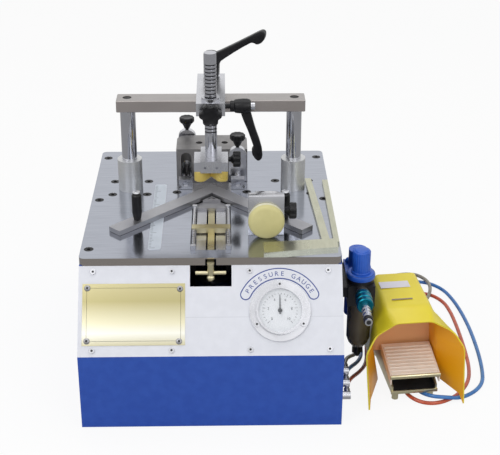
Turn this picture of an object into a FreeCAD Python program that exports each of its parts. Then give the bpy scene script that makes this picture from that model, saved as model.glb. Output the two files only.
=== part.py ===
"""Picture frame underpinner: a bench press that drives V nails into mitred corners.

The machine stands on z = 0 with its front towards -Y. The origin is the middle of the
cabinet's underside, +X is the operator's right and +Z is up. All sizes are millimetres.
"""
import FreeCAD, Part
import Sketcher
import math
import os
from types import SimpleNamespace

from FreeCAD import Placement, Rotation, Vector

# Driving dimensions, grouped by the piece that they belong to
SIZES = [
    # cabinet and table
    ("cab_width", 380), ("cab_depth", 480), ("front_height", 120), ("sheet_gauge", 2),
    ("floor_gauge", 4), ("panel_gauge", 3), ("flange_reach", 20), ("panel_rail", 18),
    ("table_depth", 400), ("table_top", 236), ("table_gauge", 12), ("table_corner", 8),
    # screws that hold the table, the columns and the bridge
    ("screw_radius", 4), ("screw_head_radius", 7), ("screw_head_drop", 4), ("screw_length", 18),
    ("screw_slack", 0.15), ("hex_radius", 2.6), ("hex_drop", 2.5),
    ("side_screw_inset", 12), ("side_screw_front", 30), ("side_screw_pitch", 171),
    ("rail_screw_across", 56), ("rail_screw_back", 229),
    # screws of the sloped front panel
    ("panel_screw_radius", 2), ("panel_screw_head", 4), ("panel_screw_dome", 2.2),
    ("panel_screw_length", 7), ("panel_screw_outer", 169.5), ("panel_screw_inner", 56.2),
    ("panel_screw_low", 9), ("panel_screw_inset", 8.5),
    # pressure gauge on the panel
    ("gauge_across", 99), ("gauge_up", 64), ("gauge_flange_radius", 44), ("gauge_flange_gauge", 3),
    ("gauge_bezel_radius", 34.5), ("gauge_bezel_height", 9), ("gauge_body_radius", 32),
    ("gauge_body_depth", 26), ("gauge_wall", 1.6), ("dial_depth", 4), ("lens_gauge", 2),
    ("needle_length", 23), ("needle_gauge", 0.8), ("gauge_screw_circle", 38.5),
    # magazine
    ("slot_half", 30), ("slot_front", 25), ("slot_length", 215), ("slot_slack", 0.2),
    ("rail_wall", 7.6), ("rail_drop", 2), ("rail_depth", 36), ("ledge_reach", 15),
    ("ledge_gauge", 6), ("bed_gauge", 10), ("rail_flange", 32), ("rail_flange_gauge", 5),
    ("tongue_half", 5), ("tongue_gauge", 6), ("lip_slot_half", 8),
    ("guide_radius", 2.5), ("guide_across", 26), ("guide_rise", 2.6), ("bracket_depth", 6),
    ("bar_depth", 14), ("bar_height", 7.7), ("bar_front", 84), ("bar_half", 29), ("bar_slack", 0.3),
    ("spring_wire", 0.5), ("spring_radius", 3.9), ("spring_turns", 9),
    ("handle_radius", 5), ("handle_drop", 23), ("handle_front", 8), ("handle_pin_radius", 3),
    ("handle_pin_half", 22), ("handle_ball", 6.5), ("cutout_half", 30), ("cutout_up", 31),
    # nail head and driver
    ("head_front", 168), ("nose_back", 204), ("head_rise", 0), ("nose_gauge", 4), ("nose_half", 14),
    ("blade_back", 197), ("blade_reach", 5), ("blade_gauge", 2.2),
    ("blade_slack", 0.15), ("blade_drop", 8), ("blade_length", 58),
    # V fence and its carriage
    ("fence_apex", 208), ("fence_width", 24), ("fence_gauge", 7.6), ("fence_reach", 136),
    ("fence_lift", 0.4), ("grip_across", 112), ("grip_radius", 7.5), ("grip_height", 44),
    ("grip_cap", 4), ("carriage_half", 31), ("carriage_gauge", 5), ("block_front", 239),
    ("block_depth", 14), ("block_width", 22), ("fence_play", 3), ("block_height", 17), ("shaft_across", 42),
    ("shaft_radius", 5), ("shaft_rise", 10), ("shaft_length", 140), ("shaft_sink", 3),
    # rear bridge and stops
    ("bridge_half", 58), ("bridge_front", 283), ("bridge_depth", 62), ("bridge_height", 52),
    ("bridge_corner", 18), ("arch_half", 8.5), ("arch_height", 46), ("arch_depth", 35),
    ("bush_wall", 3), ("cap_screw_across", 21), ("cap_screw_back", 29),
    ("cap_bore_radius", 5.4), ("cap_bore_drop", 9), ("cap_head_radius", 5), ("cap_head_height", 6),
    ("stop_half", 14.5), ("stop_gauge", 11), ("stop_height", 60), ("stop_lift", 1), ("stop_knob_radius", 12), ("stop_knob_height", 24), ("stop_knob_rim", 9), ("stud_radius", 3),
    # columns and crossbar
    ("column_across", 131), ("column_back", 247), ("column_radius", 12), ("sleeve_radius", 19.5),
    ("sleeve_height", 52), ("sleeve_drop", 32), ("column_screw_x", 27.5), ("column_screw_y", 25.5),
    ("flange_margin", 9), ("column_flange", 10), ("crossbar_end", 16.5), ("crossbar_depth", 34),
    ("column_rise", 136), ("crossbar_height", 19), ("yoke_drop", 76), ("yoke_height", 16),
    ("yoke_depth", 42), ("running_slack", 0.05),
    # air cylinders inside the cabinet
    ("cylinder_radius", 29), ("cylinder_wall", 4), ("cylinder_height", 96), ("cylinder_cap", 8),
    ("piston_rod_radius", 8), ("piston_height", 14), ("clamp_stroke", 30),
    ("cylinder_gap", 2),
    # clamp arm, press rod and levers
    ("arm_half", 22.3), ("arm_front", 193), ("arm_length", 141), ("arm_gauge", 9),
    ("arm_block_depth", 36), ("arm_block_drop", 11.5), ("arm_rear_block", 38), ("arm_slack", 0.3),
    ("arm_travel", 30), ("key_half", 4.2), ("collar_wall", 5), ("collar_rise", 6), ("stud_bore", 4.05),
    ("rod_lift", 5), ("rod_back", 209), ("rod_radius", 9.5), ("rod_rise", 85),
    ("groove_drop", 17), ("groove_pitch", 5.7), ("groove_count", 20), ("groove_depth", 0.9),
    ("groove_width", 2.6), ("lever_back", 322), ("lever_hub_radius", 12), ("lever_hub_height", 47),
    ("lever_reach", 90), ("lever_width", 14), ("lever_turn", -15.2), ("side_hub_radius", 11),
    ("side_hub_start", 30), ("side_hub_length", 32), ("side_lever_drop", 1),
    ("side_lever_width", 13), ("knob_radius", 17.5), ("knob_depth", 16), ("knob_drop", 4),
    ("knob_stem", 8),
    # pad holder and pads
    ("holder_half", 26.3), ("holder_front", 168), ("holder_depth", 44), ("holder_rise", 62),
    ("holder_wing", 15), ("boss_half", 16.3), ("boss_front", 162), ("boss_depth", 62),
    ("boss_height", 19), ("pad_height", 18), ("pad_round", 5), ("pad_knob_radius", 13),
    ("pad_knob_rise", 9), ("pad_knob_back", 196), ("pad_knob_start", 31),
    # air set on the right side of the cabinet
    ("air_back", 40), ("air_out", 33), ("air_body_half", 20), ("air_body_top", 176),
    ("air_body_height", 34), ("air_ring_radius", 20), ("air_ring_height", 14),
    ("air_knob_radius", 14.5), ("air_knob_height", 38), ("bowl_radius", 18), ("bowl_height", 78),
    ("drain_radius", 5), ("drain_height", 20), ("lub_back", 88), ("lub_cap_top", 204),
    ("lub_cap_radius", 14), ("coupler_radius", 12.5), ("coupler_length", 42),
    ("coupler_height", 166), ("nipple_radius", 5.5), ("nipple_length", 46), ("side_bracket", 3),
    # foot valve
    ("pedal_x", 306.9), ("pedal_y", -196.1), ("pedal_turn", 6), ("guard_gauge", 2.5),
    ("guard_mouth_half", 73.5), ("guard_mouth_top", 123), ("guard_top", 139), ("guard_length", 165),
    ("guard_waist_half", 46), ("guard_pin_short", 8.2), ("guard_lift", 12), ("guard_spike", 0), ("guard_sweep", 10.5), ("base_half", 35), ("base_front", 19), ("base_length", 140),
    ("base_lift", 13), ("base_gauge", 2.5), ("base_wall", 30), ("base_nose", 12), ("hinge_drop", 6), ("hinge_eye", 4.8), ("tail_drop", 13), ("spool_drop", 12), ("treadle_half", 38),
    ("treadle_front", 17), ("treadle_length", 66), ("treadle_front_z", 45), ("treadle_rise", 15),
    ("treadle_gauge", 4), ("treadle_skirt", 14), ("treadle_pin_radius", 3), ("valve_half", 17),
    ("valve_length", 46), ("valve_height", 44), ("spool_radius", 4), ("spool_reach", 12),
    # hoses and fittings
    ("hose_radius", 3), ("fitting_radius", 6), ("fitting_length", 9), ("foot_fitting", 12),
    ("hose_exit_y", -217), ("hose_exit_pitch", 19), ("hose_exit_z", 45), ("hose_exit_rise", 9), ("fitting_out", 10),
    ("fitting_spout", 16), ("foot_fitting_across", 10), ("foot_fitting_front", 62), ("foot_fitting_z", 6.9),
    ("foot_valve_port", 30),
    # things left on the table
    ("spare_half", 26.7), ("spare_x", 82.3), ("spare_front", 56), ("spare_depth", 14),
    ("spare_height", 65), ("spare_pad_radius", 27), ("spare_pad_depth", 16), ("spare_pad_rise", 27),
    ("spare_knob_rise", 37), ("spare_knob_start", 31), ("guide_bar_gauge", 5),
    ("inner_bar_x", 152), ("inner_bar_width", 10), ("inner_bar_slant", 14), ("outer_bar_x", 180),
    ("outer_bar_width", 9), ("guide_back", 231), ("guide_length", 231), ("channel_front", 5),
    ("channel_depth", 34), ("channel_half", 54.5), ("channel_x", 131.5), ("channel_slant", 17),
]


class Size:
    """A length or angle that knows its expression in the sheet and its number now."""

    def __init__(self, text, value):
        self.text = text
        self.value = value

    def __add__(self, other):
        return Size("(%s + %s)" % (self.text, as_size(other).text), self.value + float(other))

    def __radd__(self, other):
        return as_size(other) + self

    def __sub__(self, other):
        return Size("(%s - %s)" % (self.text, as_size(other).text), self.value - float(other))

    def __rsub__(self, other):
        return as_size(other) - self

    def __mul__(self, other):
        return Size("(%s * %s)" % (self.text, as_size(other).text), self.value * float(other))

    def __rmul__(self, other):
        return as_size(other) * self

    def __truediv__(self, other):
        return Size("(%s / %s)" % (self.text, as_size(other).text), self.value / float(other))

    def __neg__(self):
        return Size("(-%s)" % self.text, -self.value)

    def __float__(self):
        return float(self.value)


def as_size(thing):
    return thing if isinstance(thing, Size) else Size("%g" % thing, float(thing))


def root_of(size):
    return Size("sqrt(%s)" % size.text, math.sqrt(size.value))


def slope_angle(rise, run):
    angle = math.degrees(math.atan2(rise.value, run.value))
    return Size("atan2(%s; %s)" % (rise.text, run.text), angle)


doc = FreeCAD.newDocument("underpinner")
sheet = doc.addObject("Spreadsheet::Sheet", "sizes")
for row, (alias, value) in enumerate(SIZES, 1):
    sheet.set("A%d" % row, alias)
    sheet.set("B%d" % row, str(value))
    sheet.setAlias("B%d" % row, alias)
doc.recompute()
s = SimpleNamespace(**{alias: Size("sizes." + alias, value) for alias, value in SIZES})
NODES = []

# Places that several pieces share
FRONT = -s.cab_depth / 2
REAR = s.cab_depth / 2
LIP = s.cab_depth / 2 - s.table_depth
UNDER = s.table_top - s.table_gauge
SIDE = s.cab_width / 2
RUN = s.cab_depth - s.table_depth
RISE = UNDER - s.front_height
SLOPE = root_of(RUN * RUN + RISE * RISE)
TILT = slope_angle(RISE, RUN)
RAIL_LOW = s.table_top - s.rail_depth
SHAFT_Z = s.table_top + s.shaft_rise
BRIDGE_TOP = s.table_top + s.bridge_height
ARCH_TOP = s.table_top + s.arch_height
STOP_TOP = s.table_top + s.stop_height
CROSSBAR_LOW = s.table_top + s.column_rise
CROSSBAR_TOP = CROSSBAR_LOW + s.crossbar_height
CROSSBAR_HALF = s.column_across + s.crossbar_end
YOKE_TOP = UNDER - s.yoke_drop
ROD_TOP = CROSSBAR_TOP + s.rod_rise
KNOB_Z = CROSSBAR_TOP - s.knob_drop
SIDE_LEVER_Z = CROSSBAR_TOP - s.side_lever_drop
HOLDER_LOW = s.table_top + s.holder_rise
BLADE_TOP = s.table_top - s.blade_drop
BLADE_LOW = BLADE_TOP - s.blade_length


def bind(thing, prop, size):
    """Tie one property to the sheet, or set it where it is a plain number."""
    if isinstance(size, Size):
        thing.setExpression(prop, size.text)
    else:
        thing.setExpression(prop, "%g" % size)


def put(thing, x=0, y=0, z=0, axis=None, angle=0):
    """Place a finished shape: first its turn about an axis, then its corner or centre."""
    if axis is not None:
        thing.Placement = Placement(Vector(0, 0, 0), Rotation(Vector(*axis), float(angle)))
        if isinstance(angle, Size):
            thing.setExpression("Placement.Rotation.Angle", angle.text)
    bind(thing, "Placement.Base.x", x)
    bind(thing, "Placement.Base.y", y)
    bind(thing, "Placement.Base.z", z)
    return thing


def block(name, x, y, z):
    """A box between two places on each axis."""
    box = doc.addObject("Part::Box", name)
    bind(box, "Length", x[1] - x[0])
    bind(box, "Width", y[1] - y[0])
    bind(box, "Height", z[1] - z[0])
    return put(box, x[0], y[0], z[0])


TURNS = {"X": ((0, 1, 0), 90), "Y": ((1, 0, 0), -90), "Z": ((0, 0, 1), 0)}


def along(thing, at, start, axis):
    """Stand a round shape on one axis, starting at a place along it."""
    spot = {"X": (start, at[0], at[1]), "Y": (at[0], start, at[1]), "Z": (at[0], at[1], start)}
    return put(thing, *spot[axis], axis=TURNS[axis][0], angle=TURNS[axis][1])


def disc(name, radius, at, span, axis="Z"):
    """A cylinder between two places along an axis."""
    round_bar = doc.addObject("Part::Cylinder", name)
    bind(round_bar, "Radius", radius)
    bind(round_bar, "Height", span[1] - span[0])
    return along(round_bar, at, span[0], axis)


def taper(name, first, last, at, span, axis="Z"):
    """A cone between two places along an axis."""
    cone = doc.addObject("Part::Cone", name)
    bind(cone, "Radius1", first)
    bind(cone, "Radius2", last)
    bind(cone, "Height", span[1] - span[0])
    return along(cone, at, span[0], axis)


def ball(name, radius, x, y, z):
    sphere = doc.addObject("Part::Sphere", name)
    bind(sphere, "Radius", radius)
    return put(sphere, x, y, z)


def fuse(name, pieces):
    union = doc.addObject("Part::MultiFuse", name)
    union.Shapes = pieces
    union.Refine = True
    return union


def together(name, pieces):
    """Several separate solids under one name."""
    bundle = doc.addObject("Part::Compound", name)
    bundle.Links = pieces
    return bundle


def cut(name, base, tools):
    remainder = doc.addObject("Part::Cut", name)
    remainder.Base = base
    remainder.Tool = tools[0] if len(tools) == 1 else together(name + "_tools", tools)
    return remainder


def outline(body, plane, points, shift=0):
    """A closed sketch of straight lines whose every corner is tied to the sheet."""
    support = [f for f in body.Origin.OriginFeatures if f.Role == plane + "_Plane"][0]
    sketch = body.newObject("Sketcher::SketchObject", body.Name + "_outline")
    sketch.AttachmentSupport = (support, [""])
    sketch.MapMode = "FlatFace"
    bind(sketch, "AttachmentOffset.Base.z", shift)
    spots = [Vector(float(u), float(v), 0) for u, v in points]
    count = len(points)
    for i in range(count):
        sketch.addGeometry(Part.LineSegment(spots[i], spots[(i + 1) % count]), False)
    for i in range(count):
        sketch.addConstraint(Sketcher.Constraint("Coincident", i, 2, (i + 1) % count, 1))
    for i, (u, v) in enumerate(points):
        for kind, size, now in (("DistanceX", u, spots[i].x), ("DistanceY", v, spots[i].y)):
            index = sketch.addConstraint(Sketcher.Constraint(kind, -1, 1, i, 1, now))
            if isinstance(size, Size):
                sketch.setExpression("Constraints[%d]" % index, size.text)
    return sketch


def extrusion(name, plane, points, length, shift=0, middle=False):
    """A body made by padding a sketched outline."""
    body = doc.addObject("PartDesign::Body", name)
    sketch = outline(body, plane, points, shift)
    pad = body.newObject("PartDesign::Pad", name + "_pad")
    pad.Profile = sketch
    pad.Midplane = middle
    bind(pad, "Length", length)
    return body


def turned(name, points):
    """A body turned on a lathe about Z, from (radius, height) corners."""
    body = doc.addObject("PartDesign::Body", name)
    sketch = outline(body, "XZ", points)
    lathe = body.newObject("PartDesign::Revolution", name + "_turn")
    lathe.Profile = sketch
    lathe.ReferenceAxis = (sketch, ["V_Axis"])
    lathe.Angle = 360
    return body


def soften(name, base, radius, wanted):
    """Round the edges of a finished shape that a test picks out."""
    doc.recompute()
    edges = [i for i, edge in enumerate(base.Shape.Edges, 1) if wanted(edge)]
    if not edges:
        raise RuntimeError(name + " has no edge to round")
    rounded = doc.addObject("Part::Fillet", name)
    rounded.Base = base
    rounded.Edges = [(i, float(radius), float(radius)) for i in edges]
    return rounded


def upright(edge):
    """A straight edge that runs along Z."""
    way = edge.Vertexes[-1].Point - edge.Vertexes[0].Point
    return edge.Curve.TypeId == "Part::GeomLine" and abs(way.x) + abs(way.y) < 1e-6


def node(thing, name):
    """Name a finished piece, which is written to a file of that name."""
    thing.Label = name
    NODES.append(thing)
    return thing


def on_panel(thing):
    """Seat a piece drawn flat, with Y up the slope and Z outwards, on the front panel."""
    seated = together(thing.Name + "_on_panel", [thing])
    return put(seated, 0, FRONT, s.front_height, axis=(1, 0, 0), angle=TILT)


def in_pedal(thing):
    """Seat a piece drawn in the foot valve's own frame where the foot valve stands."""
    seated = together(thing.Name + "_in_pedal", [thing])
    return put(seated, s.pedal_x, s.pedal_y, 0, axis=(0, 0, 1), angle=s.pedal_turn)


def span(side, near, far):
    """A span beside the middle plane, on the right for 1 and on the left for -1."""
    return (near, far) if side > 0 else (-far, -near)


def measured(y):
    """A place measured back from the table's front edge."""
    return LIP + y


# Screw places that holes and screws share
COLUMN_Y = measured(s.column_back)
TABLE_SCREWS = [(side * (SIDE - s.side_screw_inset), measured(s.side_screw_front + k * s.side_screw_pitch))
                for side in (1, -1) for k in (0, 1, 2)]
COLUMN_SCREWS = [(side * s.column_across + i * s.column_screw_x, COLUMN_Y + j * s.column_screw_y)
                 for side in (1, -1) for i in (1, -1) for j in (1, -1)]
RAIL_SCREWS = [(side * s.rail_screw_across, measured(s.rail_screw_back)) for side in (1, -1)]

PANEL_SCREWS = [(side * x, up) for up in (s.panel_screw_low, SLOPE - s.panel_screw_inset)
                for x in (s.panel_screw_outer, s.panel_screw_inner) for side in (1, -1)]
HOSE_EXITS = [(s.hose_exit_y + k * s.hose_exit_pitch, s.hose_exit_z + (k - 1) * s.hose_exit_rise)
              for k in (0, 1, 2)]
GAUGE_SCREWS = [(s.gauge_screw_circle * math.cos(math.radians(angle)),
                 s.gauge_screw_circle * math.sin(math.radians(angle))) for angle in (90, 210, 330)]
GAUGE_PLACES = [(s.gauge_across + x, s.gauge_up + y) for x, y in GAUGE_SCREWS]
SLOT_Y = (measured(s.slot_front), measured(s.slot_front + s.slot_length))
BORE = s.column_radius + s.running_slack
GUIDE_Z = s.table_top + s.guide_rise
GUIDE_Y = (measured(s.slot_front) + s.slot_slack, measured(s.head_front))
BLADE_Y = measured(s.blade_back)
DIAGONAL = math.sqrt(2)


def countersunk(name, x, y, slack):
    """A countersunk socket screw, or its hole where there is slack."""
    top = s.table_top
    neck = top - s.screw_head_drop
    head = taper(name + "_head", s.screw_radius + slack, s.screw_head_radius + slack, (x, y), (neck, top))
    shank = disc(name + "_shank", s.screw_radius + slack, (x, y), (top - s.screw_length - slack, neck))
    return fuse(name, [head, shank])


def screw_holes(name, places):
    return [countersunk("%s_%d" % (name, i), x, y, s.screw_slack) for i, (x, y) in enumerate(places)]


def cabinet():
    """The folded sheet metal box, open on top and over the sloped front."""
    side_view = [(FRONT, 0), (REAR, 0), (REAR, UNDER), (LIP, UNDER), (FRONT, s.front_height)]
    skin = extrusion("cabinet_skin", "YZ", side_view, s.cab_width, middle=True)
    wall = s.sheet_gauge
    room = block("cabinet_room", (-SIDE + wall, SIDE - wall), (FRONT + wall, REAR - wall),
                 (s.floor_gauge, UNDER - wall))
    mouth = block("cabinet_mouth", (-SIDE + s.flange_reach, SIDE - s.flange_reach),
                  (FRONT + wall, REAR - s.flange_reach), (s.floor_gauge, UNDER + wall))
    hollow = cut("cabinet_hollow", skin, [room, mouth])
    rails = []
    for word, low in (("low", wall), ("high", SLOPE - wall - s.panel_rail)):
        rail = block("panel_rail_" + word, (-SIDE + wall / 2, SIDE - wall / 2), (low, low + s.panel_rail),
                     (-s.panel_gauge - wall, -s.panel_gauge + wall))
        rails.append(on_panel(rail))
    framed = fuse("cabinet_framed", [hollow] + rails)
    seat = on_panel(block("panel_seat", (-SIDE - wall, SIDE + wall), (0, SLOPE),
                          (-s.panel_gauge, s.gauge_bezel_height)))
    hand_gap = on_panel(block("rail_hand_gap", (-s.cutout_half - wall, s.cutout_half + wall),
                              (SLOPE - s.cutout_up - wall, SLOPE), (-RUN, wall)))
    tools = [seat, hand_gap] + screw_holes("cabinet_hole", TABLE_SCREWS) + panel_holes("rail_hole")
    tools += [disc("hose_hole_%d" % i, s.fitting_radius - 2, (y, z), (SIDE - 2 * wall, SIDE + wall), "X")
              for i, (y, z) in enumerate(HOSE_EXITS)]
    node(cut("cabinet_cut", framed, tools), "cabinet_shell")


def panel_holes(name):
    holes = []
    for i, (x, up) in enumerate(PANEL_SCREWS + GAUGE_PLACES):
        hole = disc("%s_%d" % (name, i), s.panel_screw_radius + s.screw_slack, (x, up),
                    (-s.panel_screw_length - 1, 1))
        holes.append(on_panel(hole))
    return holes


def front_panel():
    plate = on_panel(block("panel_plate", (-SIDE, SIDE), (0, SLOPE), (-s.panel_gauge, 0)))
    dial_hole = on_panel(disc("panel_dial_hole", s.gauge_body_radius + s.screw_slack,
                              (s.gauge_across, s.gauge_up), (-s.panel_gauge - 1, 1)))
    hand_gap = on_panel(block("panel_hand_gap", (-s.cutout_half, s.cutout_half),
                              (SLOPE - s.cutout_up, SLOPE + 1), (-s.panel_gauge - 1, 1)))
    node(cut("panel_cut", plate, [dial_hole, hand_gap] + panel_holes("panel_hole")), "front_panel")
    screws = []
    for i, (x, up) in enumerate(PANEL_SCREWS):
        head = disc("panel_screw_head_%d" % i, s.panel_screw_head, (x, up), (0, s.panel_screw_dome))
        shank = disc("panel_screw_shank_%d" % i, s.panel_screw_radius, (x, up), (-s.panel_screw_length, 0))
        screws.append(fuse("panel_screw_%d" % i, [head, shank]))
    seat = s.gauge_flange_gauge
    for i, (x, up) in enumerate(GAUGE_PLACES):
        head = disc("gauge_screw_head_%d" % i, s.panel_screw_head, (x, up), (seat, seat + s.panel_screw_dome))
        shank = disc("gauge_screw_shank_%d" % i, s.panel_screw_radius, (x, up), (-s.panel_screw_length, seat))
        screws.append(fuse("gauge_screw_%d" % i, [head, shank]))
    node(on_panel(together("panel_screw_set", screws)), "panel_screws")


def pressure_gauge():
    """Flanged dial gauge, drawn about its own axis and then seated on the panel."""
    face = s.gauge_bezel_height
    wall = s.gauge_wall
    back = -s.gauge_body_depth
    dial = face - s.dial_depth
    lens_low = face - s.lens_gauge
    case = turned("gauge_case_turn", [
        (0, back), (s.gauge_body_radius, back), (s.gauge_body_radius, 0), (s.gauge_flange_radius, 0),
        (s.gauge_flange_radius, s.gauge_flange_gauge), (s.gauge_bezel_radius, s.gauge_flange_gauge),
        (s.gauge_bezel_radius, face), (s.gauge_bezel_radius - 2 * wall, face),
        (s.gauge_bezel_radius - 2 * wall, dial - wall), (s.gauge_body_radius - 2 * wall, dial - wall),
        (s.gauge_body_radius - 2 * wall, back + wall), (0, back + wall)])
    ears = [disc("gauge_ear_hole_%d" % i, s.panel_screw_radius + s.screw_slack, at,
                 (-1, s.gauge_flange_gauge + 1)) for i, at in enumerate(GAUGE_SCREWS)]
    inner = s.gauge_bezel_radius - 2 * wall
    plate = disc("gauge_plate", inner, (0, 0), (dial - wall, dial - wall / 2))
    bore = disc("gauge_plate_bore", wall, (0, 0), (dial - 2 * wall, dial))
    lens = disc("gauge_window", inner, (0, 0), (lens_low, face - wall / 2))
    spindle = disc("needle_spindle", wall / 2, (0, 0), (dial - 2 * wall, dial + wall / 2))
    blade = extrusion("needle_blade", "XY", [
        (-wall, -2 * wall * 2), (wall, -2 * wall * 2), (wall / 2, s.needle_length), (-wall / 2, s.needle_length)],
        s.needle_gauge, shift=dial)
    needle = fuse("needle_whole", [spindle, blade])
    parts = ((cut("gauge_case_cut", case, ears), "gauge_case"), (cut("gauge_plate_cut", plate, [bore]), "gauge_dial"),
             (lens, "gauge_lens"), (needle, "gauge_needle"))
    centre_y = FRONT + RUN * s.gauge_up / SLOPE
    centre_z = s.front_height + RISE * s.gauge_up / SLOPE
    for thing, name in parts:
        seated = together(name + "_seated", [thing])
        node(put(seated, s.gauge_across, centre_y, centre_z, axis=(1, 0, 0), angle=TILT), name)


def table():
    """Thick ground plate with the magazine slot, the column holes and all screw seats."""
    plate = block("table_block", (-SIDE, SIDE), (LIP, REAR), (UNDER, s.table_top))
    rounded = soften("table_rounded", plate, s.table_corner, upright)
    slot = block("table_slot", (-s.slot_half, s.slot_half), SLOT_Y, (UNDER - 1, s.table_top + 1))
    lip_slot = block("lip_slot", (-s.lip_slot_half, s.lip_slot_half), (LIP - 1, SLOT_Y[0] + 1),
                     (UNDER - 1, s.table_top - s.rail_drop))
    tools = [slot, lip_slot]
    for side, word in ((1, "right"), (-1, "left")):
        tools.append(disc(word + "_sleeve_hole", s.sleeve_radius + s.screw_slack,
                          (side * s.column_across, COLUMN_Y), (UNDER - 1, s.table_top + 1)))
    tools += screw_holes("table_hole", TABLE_SCREWS + COLUMN_SCREWS + RAIL_SCREWS)
    node(cut("table_cut", rounded, tools), "table_plate")


def table_screws():
    """The countersunk screws of the table and the two cap screws of the bridge."""
    screws = []
    for i, (x, y) in enumerate(TABLE_SCREWS + COLUMN_SCREWS + RAIL_SCREWS):
        screw = countersunk("table_screw_%d" % i, x, y, 0)
        socket = disc("table_socket_%d" % i, s.hex_radius, (x, y),
                      (s.table_top - s.hex_drop, s.table_top + 1))
        screws.append(cut("table_screw_cut_%d" % i, screw, [socket]))
    for side, word in ((1, "right"), (-1, "left")):
        x, y, seat = bridge_screw_place(side)
        head = disc(word + "_bridge_screw_head", s.cap_head_radius, (x, y), (seat, seat + s.cap_head_height))
        shank = disc(word + "_bridge_screw_shank", s.stud_radius, (x, y), (s.table_top, seat))
        screws.append(fuse(word + "_bridge_screw", [head, shank]))
    node(together("table_screw_set", screws), "table_screws")


def bridge_screw_place(side):
    x = side * s.cap_screw_across
    y = measured(s.bridge_front + s.cap_screw_back)
    return x, y, BRIDGE_TOP - s.cap_bore_drop


def magazine():
    """Two black side rails with inner ledges, the bed plates on them and the guide rods."""
    outer = s.slot_half - s.slot_slack
    inner = outer - s.rail_wall
    top = s.table_top - s.rail_drop
    ledge = RAIL_LOW + s.bed_gauge + s.ledge_gauge
    near = inner - s.ledge_reach
    section = [(inner, top), (outer, top), (outer, UNDER), (outer + s.rail_flange, UNDER),
               (outer + s.rail_flange, UNDER - s.rail_flange_gauge),
               (outer, UNDER - s.rail_flange_gauge), (outer, RAIL_LOW), (inner, RAIL_LOW),
               (inner, ledge), (near, ledge), (near, ledge + s.ledge_gauge),
               (inner, ledge + s.ledge_gauge)]
    run = SLOT_Y[1] - SLOT_Y[0] - 2 * s.slot_slack
    rails = []
    for side, word in ((1, "right"), (-1, "left")):
        points = [(side * x, z) for x, z in section]
        rail = extrusion(word + "_rail_bar", "XZ", points, run, shift=-SLOT_Y[1] + s.slot_slack)
        screw = countersunk(word + "_rail_hole", side * s.rail_screw_across,
                            measured(s.rail_screw_back), s.screw_slack)
        rails.append(cut(word + "_rail", rail, [screw]))
    node(together("rail_pair", rails), "magazine_rails")
    pieces = []
    bed = ledge + s.ledge_gauge
    for side, word in ((1, "right"), (-1, "left")):
        pieces.append(block(word + "_bed", span(side, near, inner - s.slot_slack),
                            (SLOT_Y[0] + s.slot_slack, measured(s.head_front)), (bed, bed + s.bed_gauge)))
        pieces.append(guide_rod(side, word, top))
    node(together("guide_set", pieces), "magazine_guides")


def guide_rod(side, word, seat):
    """One guide rod of the pusher between its two end brackets."""
    rod = disc(word + "_guide", s.guide_radius, (side * s.guide_across, GUIDE_Z), GUIDE_Y, "Y")
    reach = s.spring_radius
    across = span(side, s.guide_across - reach, s.guide_across + reach - s.bar_slack)
    height = (seat, GUIDE_Z + reach)
    front = block(word + "_front_bracket", across, (GUIDE_Y[0], GUIDE_Y[0] + s.bracket_depth), height)
    back = block(word + "_back_bracket", across, (GUIDE_Y[1] - s.bracket_depth, GUIDE_Y[1]), height)
    return fuse(word + "_guide_rod", [rod, front, back])


def chevron(apex, width, reach):
    """The corners of a V bar whose inner corner is at apex and whose arms run forwards."""
    skew = width * DIAGONAL
    half = width / DIAGONAL
    return [(0, apex), (reach, apex - reach), (reach + half, apex - reach + half), (0, apex + skew),
            (-reach - half, apex - reach + half), (-reach, apex - reach)]


def nail_head():
    """The plate at the end of the magazine, its triangular nose and the blade's slit."""
    front = measured(s.head_front)
    tip = measured(s.nose_back)
    bed = RAIL_LOW + s.bed_gauge + 2 * s.ledge_gauge
    top = s.table_top + s.head_rise
    inner = s.slot_half - s.slot_slack - s.rail_wall - s.slot_slack
    plate = extrusion("head_block", "XY", [(-inner, front), (inner, front), (inner, tip - inner), (0, tip),
                                           (-inner, tip - inner)], top - bed, shift=bed)
    half = s.nose_half
    nose = extrusion("nose", "XY", [(-half, tip - half), (half, tip - half), (0, tip)], s.nose_gauge, shift=top)
    whole = fuse("head_whole", [plate, nose])
    slit = extrusion("blade_slit", "XY", blade_outline(s.blade_slack), s.table_top, shift=RAIL_LOW)
    node(cut("head_cut", whole, [slit]), "nail_head")


def blade_outline(slack):
    return chevron(BLADE_Y - slack * DIAGONAL, s.blade_gauge + 2 * slack, s.blade_reach)


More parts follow.
